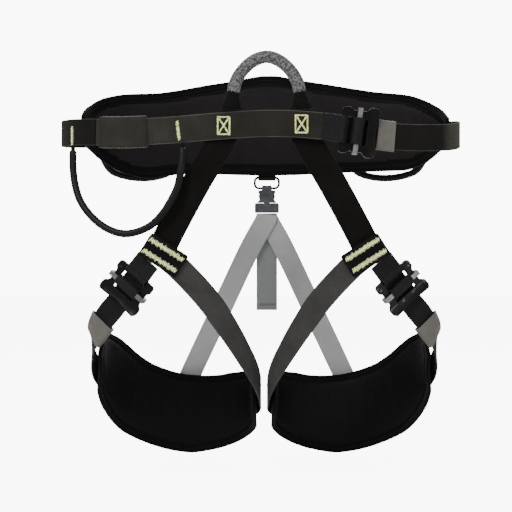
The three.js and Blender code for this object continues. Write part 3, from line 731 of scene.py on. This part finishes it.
def belt():
    front, rear = Path(BELT_FRONT), Path(BELT_REAR)
    settle(ribbon("belt_front", front, WEB, LOOKS["belt"], seed=2), "saddle",
           ["waist_webbing_front"])
    settle(ribbon("belt_rear", rear, WEB, LOOKS["belt_rear"], seed=3), "saddle",
           ["waist_webbing_rear"])

    splice = Path(BELT_FRONT, 1.5 * MM, (0.765, 0.985))
    cover = sleeve("belt_splice", splice, (41 * MM, 5.8 * MM), (36 * MM, 3.4 * MM), LOOKS["sleeve_cloth"])
    settle(cover, "saddle", ["belt_splice_sleeve"])
    rows = []
    for side in (-1, 1):
        for v in (splice.v[0] + 2.2 * MM, splice.v[0] + 4.4 * MM, splice.v[-1] - 4.4 * MM,
                  splice.v[-1] - 2.2 * MM):
            rows.append(cross_seam(front, v, 18.5 * MM, side * 2.9 * MM, side=side))
    stitch("belt_splice_stitches", rows, 0.4 * MM, 0.25 * MM)
    edging = [seam(front, side * 20.4 * MM, 0, (splice.v[0] + 2 * MM, splice.v[-1] - 2 * MM),
                   length=4.4 * MM, pitch=4.6 * MM) for side in (-1, 1)]
    edging = [(a, b, np.cross(b - a, front.out[-1]) * (-side * 1000))
              for side, (a, b, _) in zip((-1, 1), edging)]
    edging = [(a, b, unit(n)) for a, b, n in edging]
    stitch("belt_splice_edging", edging, 0.55 * MM, 0.15 * MM, "grey_thread")

    for side, span in (("left", (0.292, 0.325)), ("right", (0.548, 0.581))):
        path = Path(BELT_REAR, 1.5 * MM, span)
        band = sleeve(f"pad_loop_{side}", path, (42 * MM, 6.2 * MM), (36 * MM, 3.4 * MM), LOOKS["belt"])
        settle(band, "saddle", [f"pad_belt_loop_{side}"])
        rows = [seam(rear, a, 3.1 * MM, (path.v[0] + MM, path.v[-1] - MM)) for a in (-19 * MM, 19 * MM)]
        rows += [cross_seam(rear, v, 18 * MM, 3.1 * MM)
                 for v in (path.v[0] + 1.8 * MM, path.v[-1] - 1.8 * MM)]
        sewn = threads(f"pad_loop_{side}_stitches", rows, 0.38 * MM, 0.25 * MM, LOOKS["grey_thread"])
        settle(sewn, "saddle")

    path = Path(BELT_REAR, 1.0 * MM, (0.932, 0.957))
    band = sleeve("strap_keeper", path, (40 * MM, 5.2 * MM), (36 * MM, 3.3 * MM), LOOKS["keeper"])
    settle(band, "saddle", ["waist_strap_keeper"])

    # Two rows of stitches run the length of the belt's front, inside its edges.
    rows = [seam(front, a, 1.12 * MM, (0.008, splice.v[0] - 0.004), 2.6 * MM, 3.6 * MM)
            for a in (-14.6 * MM, 14.6 * MM)]
    stitch("belt_front_stitches", rows, 0.3 * MM, 0.2 * MM)


# ---- buckles ---------------------------------------------------------------------------------

def seat(at, along, out):
    """Local x across the webbing, y towards the adjusting side, z outwards, in millimetres."""
    y = unit(along)
    z = unit(np.asarray(out, float) - y * np.dot(out, y))
    made = np.eye(4)
    made[:3, :3] = np.stack([np.cross(y, z), y, z], 1) * MM
    made[:3, 3] = np.asarray(at, float) * MM
    return made


def seated(points, matrix):
    return np.asarray(points, float).reshape(-1, 3) @ matrix[:3, :3].T + matrix[:3, 3]


WAIST_BUCKLE = seat((120.5, -96, 6), (0.985, 0.1, -0.14), (0.1, -1, 0))
LEG_BUCKLE = seat((-178, -84, -196), (-0.6, 0.22, -0.77), (-0.344, -0.94, 0))
PLATE = [
    (-27, -22), (27, -22), (29.5, -19.5), (29.5, -12), (26, -8.5), (26, 9), (32, 14.5), (32, 21.5),
    (29, 25.5),
    (-29, 25.5), (-32, 21.5), (-32, 14.5), (-26, 9), (-26, -8.5), (-29.5, -12), (-29.5, -19.5),
]


def plate_outline(name, outlines, depth, bevel):
    """A filled outline with holes, cut into fine strips so that it can be bent."""
    curve = bpy.data.curves.new(name, "CURVE")
    curve.dimensions, curve.fill_mode = "2D", "BOTH"
    curve.extrude, curve.bevel_depth, curve.bevel_resolution = depth / 2 - bevel, bevel, 2
    for outline in outlines:
        line = curve.splines.new("POLY")
        line.points.add(len(outline) - 1)
        for point, (x, y) in zip(line.points, outline):
            point.co = (x, y, 0, 1)
        line.use_cyclic_u = True
    holder = link(name + "_outline", curve)
    bpy.context.view_layer.update()
    mesh = bpy.data.meshes.new_from_object(holder.evaluated_get(bpy.context.evaluated_depsgraph_get()))
    bpy.data.objects.remove(holder)
    work = bmesh.new()
    work.from_mesh(mesh)
    bmesh.ops.remove_doubles(work, verts=work.verts, dist=0.01)
    for axis, span in ((1, 24), (0, 33)):
        normal = Vector([float(axis == k) for k in range(3)])
        for offset in np.arange(-span, span, 2.0):
            geometry = work.verts[:] + work.edges[:] + work.faces[:]
            bmesh.ops.bisect_plane(work, geom=geometry, plane_co=normal * float(offset), plane_no=normal,
                                   dist=1e-4)
    work.to_mesh(mesh)
    work.free()
    return mesh


def bent_frame(name, matrix, body, node):
    """The buckle's plate: its free lip curls outwards and is scooped for a thumb."""
    def rounded(outline, cut):
        points = []
        for before, here, after in zip(outline[-1:] + outline[:-1], outline, outline[1:] + outline[:1]):
            before, here, after = (np.array(p, float) for p in (before, here, after))
            back, ahead = here + unit(before - here) * cut, here + unit(after - here) * cut
            for t in (0, 0.33, 0.67, 1):
                points.append(tuple((1 - t) ** 2 * back + 2 * t * (1 - t) * here + t * t * ahead))
        return points
    window = [(-18.5, -17), (18.5, -17), (18.5, 13), (-18.5, 13)]
    mesh = plate_outline(name, [rounded(PLATE, 1.3), rounded(window, 2.0)], 4.0, 0.8)
    points = np.empty(len(mesh.vertices) * 3)
    mesh.vertices.foreach_get("co", points)
    x, y, z = points.reshape(-1, 3).T
    lip = np.clip((y - 13) / 12, 0, 1)
    scoop = np.exp(-((x / 13) ** 2))
    z = z + 2.6 * lip**1.6 - 1.2 * scoop * lip
    y = y - 2.4 * scoop * np.clip((y - 17) / 8, 0, 1)
    z = z + 0.9 * np.clip((np.abs(x) - 25) / 6, 0, 1) * np.clip((y - 9) / 5, 0, 1)
    placed = seated(np.stack([x, y, z], 1), matrix)
    faces = [list(face.vertices) for face in mesh.polygons]
    piece = build(name, placed, faces, LOOKS["metal"], crease=32)
    bpy.data.meshes.remove(mesh)
    return settle(piece, body, [node])


def wound_strip(name, route, matrix, size, looks, step=0.8 * MM, seed=5):
    """Webbing that runs along a route in the buckle's y, z plane, straight across its x."""
    line = seated(smooth_line([(0, y, z) for y, z in route], 12) / MM, matrix)
    path = Path(line, step, across=unit(matrix[:3, 0]))
    return ribbon(name, path, size, looks, uneven=0.1 * MM, seed=seed), path


def arc(centre, radius, start, stop, count=7):
    turns = np.radians(np.linspace(start, stop, count))
    return [(centre[0] + radius * math.cos(t), centre[1] + radius * math.sin(t)) for t in turns]


def softened(node, look, width=0.5 * MM, segments=3):
    """A CAD node that stays: rounded edges and a better material, with its own shape kept."""
    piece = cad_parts[node]
    for slot in piece.material_slots:
        slot.material = look
    if not piece.material_slots:
        piece.data.materials.append(look)
    plane = piece.modifiers.new("faces", "DECIMATE")
    plane.decimate_type, plane.angle_limit = "DISSOLVE", math.radians(1)
    bevel = piece.modifiers.new("edges", "BEVEL")
    bevel.width, bevel.segments, bevel.limit_method = width, segments, "ANGLE"
    bevel.angle_limit, bevel.use_clamp_overlap, bevel.harden_normals = math.radians(35), True, False
    return piece


def buckle(name, matrix, loop_length):
    bent_frame(f"{name}_plate", matrix, name, f"{name}_frame")
    softened(f"{name}_slide_bar", LOOKS["bar"], 0.6 * MM)

    wrap = [(4.7, -0.1), (6.0, 1.2), (6.3, 4.2), *arc((0, 4.3), 6.3, 25, 155), (-6.3, 4.2), (-6.0, 1.2),
            (-4.7, -0.1)]
    wrap = [(y, z if z < 4.4 else 4.3 + (z - 4.3) * 0.62) for y, z in wrap]
    rolled, _ = wound_strip(f"{name}_wrap", wrap, matrix, (35 * MM, 2.0 * MM), LOOKS["wrap"], seed=7)
    settle(rolled, f"{name}_bar", [f"{name}_bar_wrap"])

    eye = -19.5
    far = eye - loop_length
    route = [(far, 1.15), (eye - 14, 1.2), (eye - 8, 1.6), *arc((eye, 0), 4.95, 145, -145, 11),
             (eye - 8, -1.6), (eye - 14, -1.2), (far, -1.15)]
    doubled, path = wound_strip(f"{name}_fold", route, matrix, (35 * MM, 2.1 * MM), LOOKS["wrap"], seed=8)
    settle(doubled, "saddle", [f"{name}_loop"])
    rows = []
    for a in (-12.5, 12.5):
        rows.append(straight(matrix, (a, far + 2.5, 2.3), (a, eye - 10, 2.3)))
    for y in (far + 2.5, eye - 10):
        rows.append(straight(matrix, (-12.5, y, 2.3), (12.5, y, 2.3)))
    rows.append(straight(matrix, (-12.5, far + 2.5, 2.3), (12.5, eye - 10, 2.3)))
    stitch(f"{name}_fold_stitches", rows, 0.4 * MM, 0.25 * MM)


def straight(matrix, start, stop, length=2.8, pitch=3.8, normal=(0, 0, 1)):
    """Stitches on a straight line between two points of a seat, in millimetres."""
    start, stop = np.array(start, float), np.array(stop, float)
    whole = np.linalg.norm(stop - start)
    t = np.arange(0, max(whole - length, 0.1), pitch)[:, None]
    heading = (stop - start) / whole
    first, last = start + heading * t, start + heading * (t + length)
    out = unit(matrix[:3, :3] @ np.array(normal, float))
    return seated(first, matrix), seated(last, matrix), np.broadcast_to(out, (len(t), 3))


def mirrored(matrix):
    """The same seat on the other side: x is turned round, so that it stays right-handed."""
    return np.diag([-1.0, 1, 1, 1]) @ matrix @ np.diag([-1.0, 1, 1, 1])


# ---- leg loops -------------------------------------------------------------------------------

LEG_WEB = [
    (-169.1, -82.8, -186.4), (-179, -79.2, -199), (-194.6, -73.5, -219), (-213, -68, -242),
    (-227, -52, -268), (-226, -14, -309),
    (-187, 44, -352), (-118, 83, -378), (-52, 77, -376), (-11, 42, -359), (-5.5, -8, -340),
    (-12.5, -42, -314),
    (-29.5, -70, -281), (-51, -88, -245), (-74, -96, -212), (-112, -100, -171), (-126, -100.6, -159),
]
RISER_ROUTE = [(-50, -91, 8), (-61, -91, -14), (-87, -91.5, -58), (-120, -92.5, -119), (-134, -93.5, -147)]
PATCH = seat((-131, -103.6, -155), (0.84, 0, -0.54), (0, -1, 0))


def handed(piece, sign):
    """Mirrors a piece drawn on the -X side, with its faces turned to match."""
    if sign < 0:
        piece.data.transform(Matrix.Diagonal((-1, 1, 1, 1)))
        piece.data.flip_normals()
    return piece


def handed_rows(rows, sign):
    return [tuple(flip(x, sign) for x in row) for row in rows]


def leg_loop(side, sign):
    path = Path(smooth_line(LEG_WEB))
    strap = handed(ribbon(f"leg_strap_{side}", path, INNER_WEB, LOOKS["leg"], seed=4), sign)
    settle(strap, "saddle", [f"leg_webbing_{side}"])

    band_path = Path(smooth_line(LEG_WEB), 1.2 * MM, (0.093, 0.132))
    band = sleeve(f"leg_keeper_{side}", band_path, (41 * MM, 8.6 * MM), (36.4 * MM, 6.4 * MM),
                  LOOKS["keeper"])
    settle(handed(band, sign), "saddle", [f"leg_strap_keeper_{side}"])

    riser_path = Path(smooth_line(RISER_ROUTE))
    riser = ribbon(f"riser_{side}", riser_path, RISER, LOOKS["riser"], seed=6)
    settle(handed(riser, sign), "saddle", [f"leg_riser_{side}"])

    # The stitches that hold the leg webbing to the outside of the pad.
    rows = [seam(path, a, 1.15 * MM, (path.total * 0.30, path.total * 0.62), 3.0 * MM, 4.2 * MM)
            for a in (-13 * MM, 13 * MM)]
    sewn = threads(f"leg_strap_stitches_{side}", handed_rows(rows, sign), 0.36 * MM, 0.2 * MM,
                   LOOKS["black_thread"])
    settle(sewn, "saddle")

    patch(side, sign)
    matrix = LEG_BUCKLE if sign > 0 else mirrored(LEG_BUCKLE)
    buckle(f"leg_buckle_{side}", matrix, 25)


def patch(side, sign):
    """The stiff patch that joins the three straps, with its two thick bar tacks."""
    across, long, thick = 33, 57, 2.6
    corner = 3.0
    outline = [(x * (across / 2 - corner) + corner * math.cos(t),
                y * (long / 2 - corner) + corner * math.sin(t))
               for x, y, first in ((1, 1, 0), (-1, 1, 90), (-1, -1, 180), (1, -1, 270))
               for t in np.radians(np.linspace(first, first + 90, 5))]
    # Rings from the back's edge, round the rim and in to the middle of the front.
    levels = [(0.94, -1.3), (1.0, -0.7), (1.0, 0.6), (0.97, 1.15), (0.92, 1.3), (0.88, 1.12), (0.84, 1.3),
              (0.6, 1.3), (0.3, 1.3)]
    matrix = PATCH if sign > 0 else mirrored(PATCH)
    rings = [[(x * s, y * (1 - (1 - s) * across / long), z) for x, y in outline] for s, z in levels]
    run = np.array(rings)[..., [0, 1, 2]] * MM
    piece = build(f"junction_{side}", seated(rings, matrix), loft(len(levels), len(outline)),
                  LOOKS["patch"], run)
    settle(piece, "saddle", [f"junction_patch_{side}"])
    centre, x_axis, y_axis, out = matrix[:3, 3], *(unit(matrix[:3, k]) for k in range(3))
    for which, x in (("upper", -8.5), ("lower", 8.5)):
        x = x * sign
        spot = centre + (x_axis * x + out * 1.5) * MM
        bar = threads(f"junction_bar_{which}_{side}",
                      [satin(spot, y_axis, x_axis, out, 50 * MM, 6.4 * MM, 1.3 * MM)],
                      0.8 * MM, 0.8 * MM, LOOKS["lime"])
        settle(bar, "saddle", [f"junction_tack_{which}_{side}"])
    rows = []
    for x in (-13.8, 13.8):
        rows.append(straight(matrix, (x, -25, 1.35), (x, 25, 1.35)))
    for y in (-26, 26):
        rows.append(straight(matrix, (-13.5, y, 1.35), (13.5, y, 1.35)))
    settle(threads(f"junction_stitches_{side}", rows, 0.36 * MM, 0.2 * MM, LOOKS["black_thread"]), "saddle")


# ---- rope bridge -----------------------------------------------------------------------------

def braid(name, line, radius, looks, strands=8, turn_length=34 * MM):
    """A braided cover: strands wound both ways that pass over and under each other."""
    path = Path(line, 1.1 * MM, across=(0, 1, 0))
    sides, faces, vertices, runs = 6, [], [], []
    yarn = radius * 0.3
    one = loft(len(path.at), sides)
    for way in (1, -1):
        for k in range(strands):
            turn = way * 2 * math.pi * path.v / turn_length + 2 * math.pi * k / strands
            weave = np.cos(strands * (2 * math.pi * path.v / turn_length)) * way
            reach = radius - yarn * 0.62 + 0.16 * yarn * weave
            along_turn = np.stack([np.cos(turn), np.sin(turn)], 1)
            outward = path.across * along_turn[:, :1] + path.out * along_turn[:, 1:]
            centre = path.at + outward * reach[:, None]
            heading = unit(np.gradient(centre, axis=0))
            aside = unit(np.cross(heading, outward))
            ring = np.linspace(0, 2 * math.pi, sides, endpoint=False)[:, None, None]
            points = centre + aside * np.cos(ring) * yarn * 1.5 + outward * np.sin(ring) * yarn * 0.62
            offset = len(vertices) * len(path.at) * sides
            vertices.append(points.transpose(1, 0, 2).reshape(-1, 3))
            across = np.broadcast_to(np.cos(ring[:, 0]) * yarn * 1.5, (sides, len(path.at))).T
            runs.append(np.stack([across, np.broadcast_to(path.v[:, None], across.shape),
                                  np.full_like(across, k * MM)], -1).reshape(-1, 3))
            faces += [[i + offset for i in face] for face in one]
    return build(name, np.vstack(vertices), faces, looks, np.vstack(runs), crease=60)


def bridge_tab(side, x, hinge_y, belt_y):
    """A short strap from the collar's foot down behind the belt; it bends where the bridge swings."""
    foot, belt_top = 42, 30
    drop = smooth_line([(x, hinge_y, foot + 2), (x, hinge_y - 1.5, foot - 4),
                        (x, belt_y + 0.6, belt_top + 1.5),
                        (x, belt_y, belt_top - 4), (x, belt_y, belt_top - 16)])
    path = Path(drop, 1 * MM, across=(1, 0, 0))
    tab = ribbon(f"bridge_tab_{side}", path, (24 * MM, 2 * MM), LOOKS["collar"])
    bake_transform(tab)


def rope_bridge():
    middle, y = 2.7, -87
    half = [(-43.2, 59.4), (-40, 72), (-30.5, 87), (-15.5, 99.5)]
    arch = [*half, (0, 104), *[(-x, z) for x, z in half[::-1]]]
    line = smooth_line([(middle + x, y, z) for x, z in arch])
    rope = braid("rope", line, 8.2 * MM, LOOKS["rope"])
    settle(rope, "bridge", ["rope_bridge"])
    core = tube("rope_core", line, 6.6 * MM, LOOKS["rope"], around=16)
    settle(core, "bridge")
    for side, sign in SIDES:
        s = -sign
        route = smooth_line([(middle + s * x, y, z) for x, z in ((46, 35), (44.8, 46), (43.4, 57.4))])
        path = Path(route, 0.45 * MM, across=(1, 0, 0))
        u = path.v / path.total
        wide, deep = (15 - 6.7 * u**0.8) * MM, (5 + 3.2 * u) * MM
        ridge = 0.28 * MM * np.cos(2 * math.pi * path.v / (2.8 * MM))
        hem = 0.35 * MM * np.exp(-((path.total - path.v) / (1.2 * MM)) ** 2)
        edge = np.minimum(1, np.minimum(u, 1 - u) * 40 + 0.86)
        turn = np.linspace(0, 2 * math.pi, 40, endpoint=False)
        grow = (ridge + hem)[:, None]
        rings = path.place((wide[:, None] + grow) * edge[:, None] * np.cos(turn),
                           (deep[:, None] + grow) * edge[:, None] * np.sin(turn))
        run = np.stack(np.broadcast_arrays((10 * MM * turn)[None], path.v[:, None], 0 * turn[None]), -1)
        collar = build(f"rope_collar_{side}", rings, loft(len(path.at), 40), LOOKS["collar"], run)
        settle(collar, "bridge", [f"bridge_sleeve_{side}"])
        bridge_tab(side, middle + s * 46, y, -94.0 if s < 0 else -96.8)


# ---- gear loops and belt tacks -----------------------------------------------------------------

def gear_loops():
    front = smooth_line([
        (-254, -51, -15.3), (-254, -52.5, -26), (-253.6, -54.5, -38), (-251, -58.5, -58),
        (-242.9, -68, -82.2),
        (-225.3, -78, -105.5), (-201.6, -87, -122), (-178.1, -94, -127), (-148.4, -101, -117.1),
        (-131.3, -104.5, -100.4), (-122.2, -105, -86.2), (-113.2, -104, -68), (-108.1, -102.5, -44.6),
        (-106.2, -99.5, -27), (-106.2, -96.5, -14.9),
    ])
    piece = tube("gear_loop", front, 4.9 * MM, LOOKS["tube"], ridge=0.07 * MM)
    settle(piece, "front_gear_loop", ["gear_loop_front"])
    # The cord inside the tube comes out at both ends and goes up to the belt's lower edge.
    necks = (((-254, -50.4, -9.6), (-254, -51, -13), (-254, -52, -20)),
             ((-106.2, -96.5, -20), (-106.2, -95.6, -13), (-106.2, -94.8, -9.4)))
    for end, neck in zip(("outer", "inner"), necks):
        cord = tube(f"gear_loop_cord_{end}", smooth_line(neck), 2.9 * MM, LOOKS["collar"], rounded=False)
        settle(cord, "front_gear_loop")
    rear = [(118, 105, 2), (120, 109.5, -18), (134, 113, -35), (154, 112, -42.5), (178, 107, -44.5),
            (200, 98, -41.5), (216, 89, -35), (226, 81, -20), (229, 76, -2)]
    for side, sign in SIDES:
        line = smooth_line([(-sign * x, y, z) for x, y, z in rear])
        piece = tube(f"rear_loop_{side}", line, 4.9 * MM, LOOKS["tube"], ridge=0.07 * MM)
        settle(piece, f"rear_{side}_gear_loop", [f"gear_loop_rear_{side}"])


def belt_tacks():
    pair = (("outer", (-255.4, -50.9, 3.5), UP, (-0.737, -0.676, 0)),
            ("inner", (-112.2, -94.7, 7), (-0.12, 0, 0.99), (-0.089, -0.996, 0)))
    for name, at, long, out in pair:
        across = np.cross(unit(out), long)
        rows = [satin(np.array(at) * MM, long, across, out, 24 * MM, 3.8 * MM)]
        piece = threads(f"gear_tack_{name}_thread", rows, 0.6 * MM, 0.75 * MM, LOOKS["lime"])
        settle(piece, "saddle", [f"gear_tack_{name}"])
    wide, high, stroke = 15.4 * MM, 22.4 * MM, 2.1 * MM
    for side, at in (("left", (-53, -98.5, 13.2)), ("right", (48, -102.3, 15))):
        centre, out, right = np.array(at) * MM, np.array((0, -1.0, 0)), np.array((1.0, 0, 0))
        rows = [satin(centre + right * x * wide / 2, UP, right, out, high, stroke) for x in (-1, 1)]
        rows += [satin(centre + np.array(UP) * z * high / 2, right, UP, out, wide, stroke) for z in (-1, 1)]
        for x in (-1, 1):
            diagonal = unit(right * x * wide * 0.86 + np.array(UP) * high * 0.9)
            aside = np.cross(out, diagonal)
            rows.append(satin(centre, diagonal, aside, out, math.hypot(wide, high) * 0.84, stroke))
        piece = threads(f"riser_tack_{side}_thread", rows, 0.55 * MM, 0.6 * MM, LOOKS["lime"])
        settle(piece, "saddle", [f"riser_tack_{side}"])


# ---- rear risers -----------------------------------------------------------------------------

def elastics():
    x, y = REAR_X, REAR_Y
    for side, s, rear in (("left", -1, y - 4), ("right", 1, y - 0.6)):
        route = [(x, rear, -96.6), (x + s * 0.4, rear, -100.5), (x + s * 2.6, rear, -106),
                 (x + s * 22, rear - 1, -141),
                 (x + s * 60, 95, -221), (x + s * 103, 90, -312), (x + s * 117, 88, -343)]
        path = Path(smooth_line(route))
        strap = ribbon(f"elastic_{side}", path, ELASTIC, LOOKS["elastic"], uneven=0.1 * MM, seed=9,
                       selvage=0.2)
        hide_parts(f"elastic_riser_{side}")
        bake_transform(strap)
    fold = [(3, -98), (3, -150), (3, -200), (3, -231), (3.4, -235.2), (4.4, -236), (5.0, -234.5),
            (4.95, -231),
            (4.9, -226.5)]
    tail = smooth_line([(x, y + back, z + REAR_LIFT) for back, z in fold])
    path = Path(tail, 1.2 * MM, across=(-1, 0, 0))
    piece = ribbon("elastic_end", path, (29.5 * MM, 1.6 * MM), LOOKS["elastic_tail"], uneven=0.08 * MM,
                   seed=10)
    settle(piece, "riser_clip", ["elastic_tail"])
    matrix = seat((x, y + 3, -225), (0, 0, -1), (0, -1, 0))
    rows = [straight(matrix, (-13, d, 0.85), (13, d, 0.85), 2.4, 3.1) for d in (-0.5, 1.2)]
    sewn = threads("elastic_end_stitches", rows, 0.35 * MM, 0.2 * MM, LOOKS["black_thread"])
    settle(sewn, "riser_clip")


def rear_ring():
    half_x, half_z, corner, wire, height = 17.25, 7.75, 6.2, 1.75, REAR_LIFT - 54.5
    corners = [(half_x - corner, half_z - corner, 0), (-half_x + corner, half_z - corner, 90),
               (-half_x + corner, -half_z + corner, 180), (half_x - corner, -half_z + corner, 270)]
    line = [(REAR_X + x + corner * math.cos(t), REAR_Y, height + z + corner * math.sin(t))
            for x, z, first in corners
            for t in np.radians(np.linspace(first, first + 90, 8))]
    centre = np.array(line) * MM
    heading = unit(np.roll(centre, -1, 0) - np.roll(centre, 1, 0))
    inward = np.cross(heading, (0, 1.0, 0))
    turn = np.linspace(0, 2 * math.pi, 14, endpoint=False)
    rings = centre[:, None] + (inward[:, None] * np.cos(turn)[:, None]
                               + np.array((0, 1.0, 0)) * np.sin(turn)[:, None]) * wire * MM
    piece = build("tab_ring", rings, loft(len(centre), 14, ring=True), LOOKS["metal"])
    settle(piece, "saddle", ["rear_ring"])

    matrix = seat((REAR_X, REAR_Y, height + half_z), (0, 0, -1), (0, 1, 0))
    route = [(-44, 1.1), (-14, 1.2), (-6.5, 1.7), *arc((0, 0), 3.9, 140, -140, 9), (-6.5, -1.7),
             (-14, -1.2), (-44, -1.1)]
    tab, _ = wound_strip("tab_webbing", route, matrix, (25 * MM, 2.0 * MM), LOOKS["wrap"], seed=12)
    settle(tab, "saddle", ["rear_tab"])
    rows = [straight(matrix, (-9, d, 2.2), (9, d, 2.2), 2.4, 3.2) for d in (-14, -17)]
    stitch("tab_stitches", rows, 0.36 * MM, 0.2 * MM)


def side_release():
    softened("riser_buckle_female", LOOKS["plastic"], 0.9 * MM)
    softened("riser_buckle_male", LOOKS["plastic"], 0.9 * MM)
    for side in ("left", "right"):
        softened(f"riser_prong_{side}", LOOKS["prong"], 0.4 * MM)


# ---- stage -----------------------------------------------------------------------------------

def area_light(name, at, size, power, target=(0, 0, -0.15), colour=(1, 1, 1)):
    data = bpy.data.lights.new(name, "AREA")
    data.shape, data.size, data.energy, data.color = "DISK", size, power, colour
    lamp = link(name, data)
    lamp.location = at
    lamp.rotation_euler = (Vector(target) - Vector(at)).to_track_quat("-Z", "Y").to_euler()


def stage():
    camera = bpy.data.cameras.new("camera")
    camera.sensor_width, camera.lens = 36, 108.2
    holder = link("camera", camera)
    holder.location = (-0.011, -2.095, -0.156)
    holder.rotation_euler = (math.pi / 2, 0, 0)
    bpy.context.scene.camera = holder

    world = bpy.data.worlds.new("studio")
    world.use_nodes = True
    nodes, links = world.node_tree.nodes, world.node_tree.links
    sky = nodes["Background"]
    sky.inputs["Color"].default_value = (0.985, 0.99, 1.0, 1)
    seen = nodes.new("ShaderNodeLightPath").outputs["Is Camera Ray"]
    lift = nodes.new("ShaderNodeMath")
    lift.operation = "MULTIPLY_ADD"
    lift.inputs[1].default_value, lift.inputs[2].default_value = BACKDROP - 0.9, 0.9
    links.new(seen, lift.inputs[0])
    links.new(lift.outputs[0], sky.inputs["Strength"])
    bpy.context.scene.world = world
    area_light("key", (-1.3, -1.9, 1.7), 0.9, 75)
    area_light("fill", (1.7, -1.5, 0.2), 1.6, 14)
    area_light("back", (0.5, 1.8, 1.4), 1.4, 30)

    floor = bpy.data.meshes.new("floor")
    half, low = 9.0, CAD_BOX[0][2] - 0.012
    floor.from_pydata([(-half, -half, low), (half, -half, low), (half, half, low), (-half, half, low)], [],
                      [(0, 1, 2, 3)])
    look = Look("pale_floor", 0.9, Specular_IOR_Level=0.1)
    tone = look.mix(look.noise(1.5, 2.0), (0.86, 0.86, 0.862), (0.9, 0.9, 0.902))
    look.colour(tone)
    camera_ray = look.node("ShaderNodeLightPath").outputs["Is Camera Ray"]
    look.put(look.shader.inputs["Emission Color"], tone)
    look.put(look.shader.inputs["Emission Strength"], look.math("MULTIPLY", camera_ray, BACKDROP - 1.2))
    floor.materials.append(look.material)
    link("floor", floor)


stage()
pads()
belt()
buckle("waist_buckle", WAIST_BUCKLE, 25.5)
for side, sign in SIDES:
    leg_loop(side, sign)
rope_bridge()
gear_loops()
belt_tacks()
elastics()
rear_ring()
side_release()
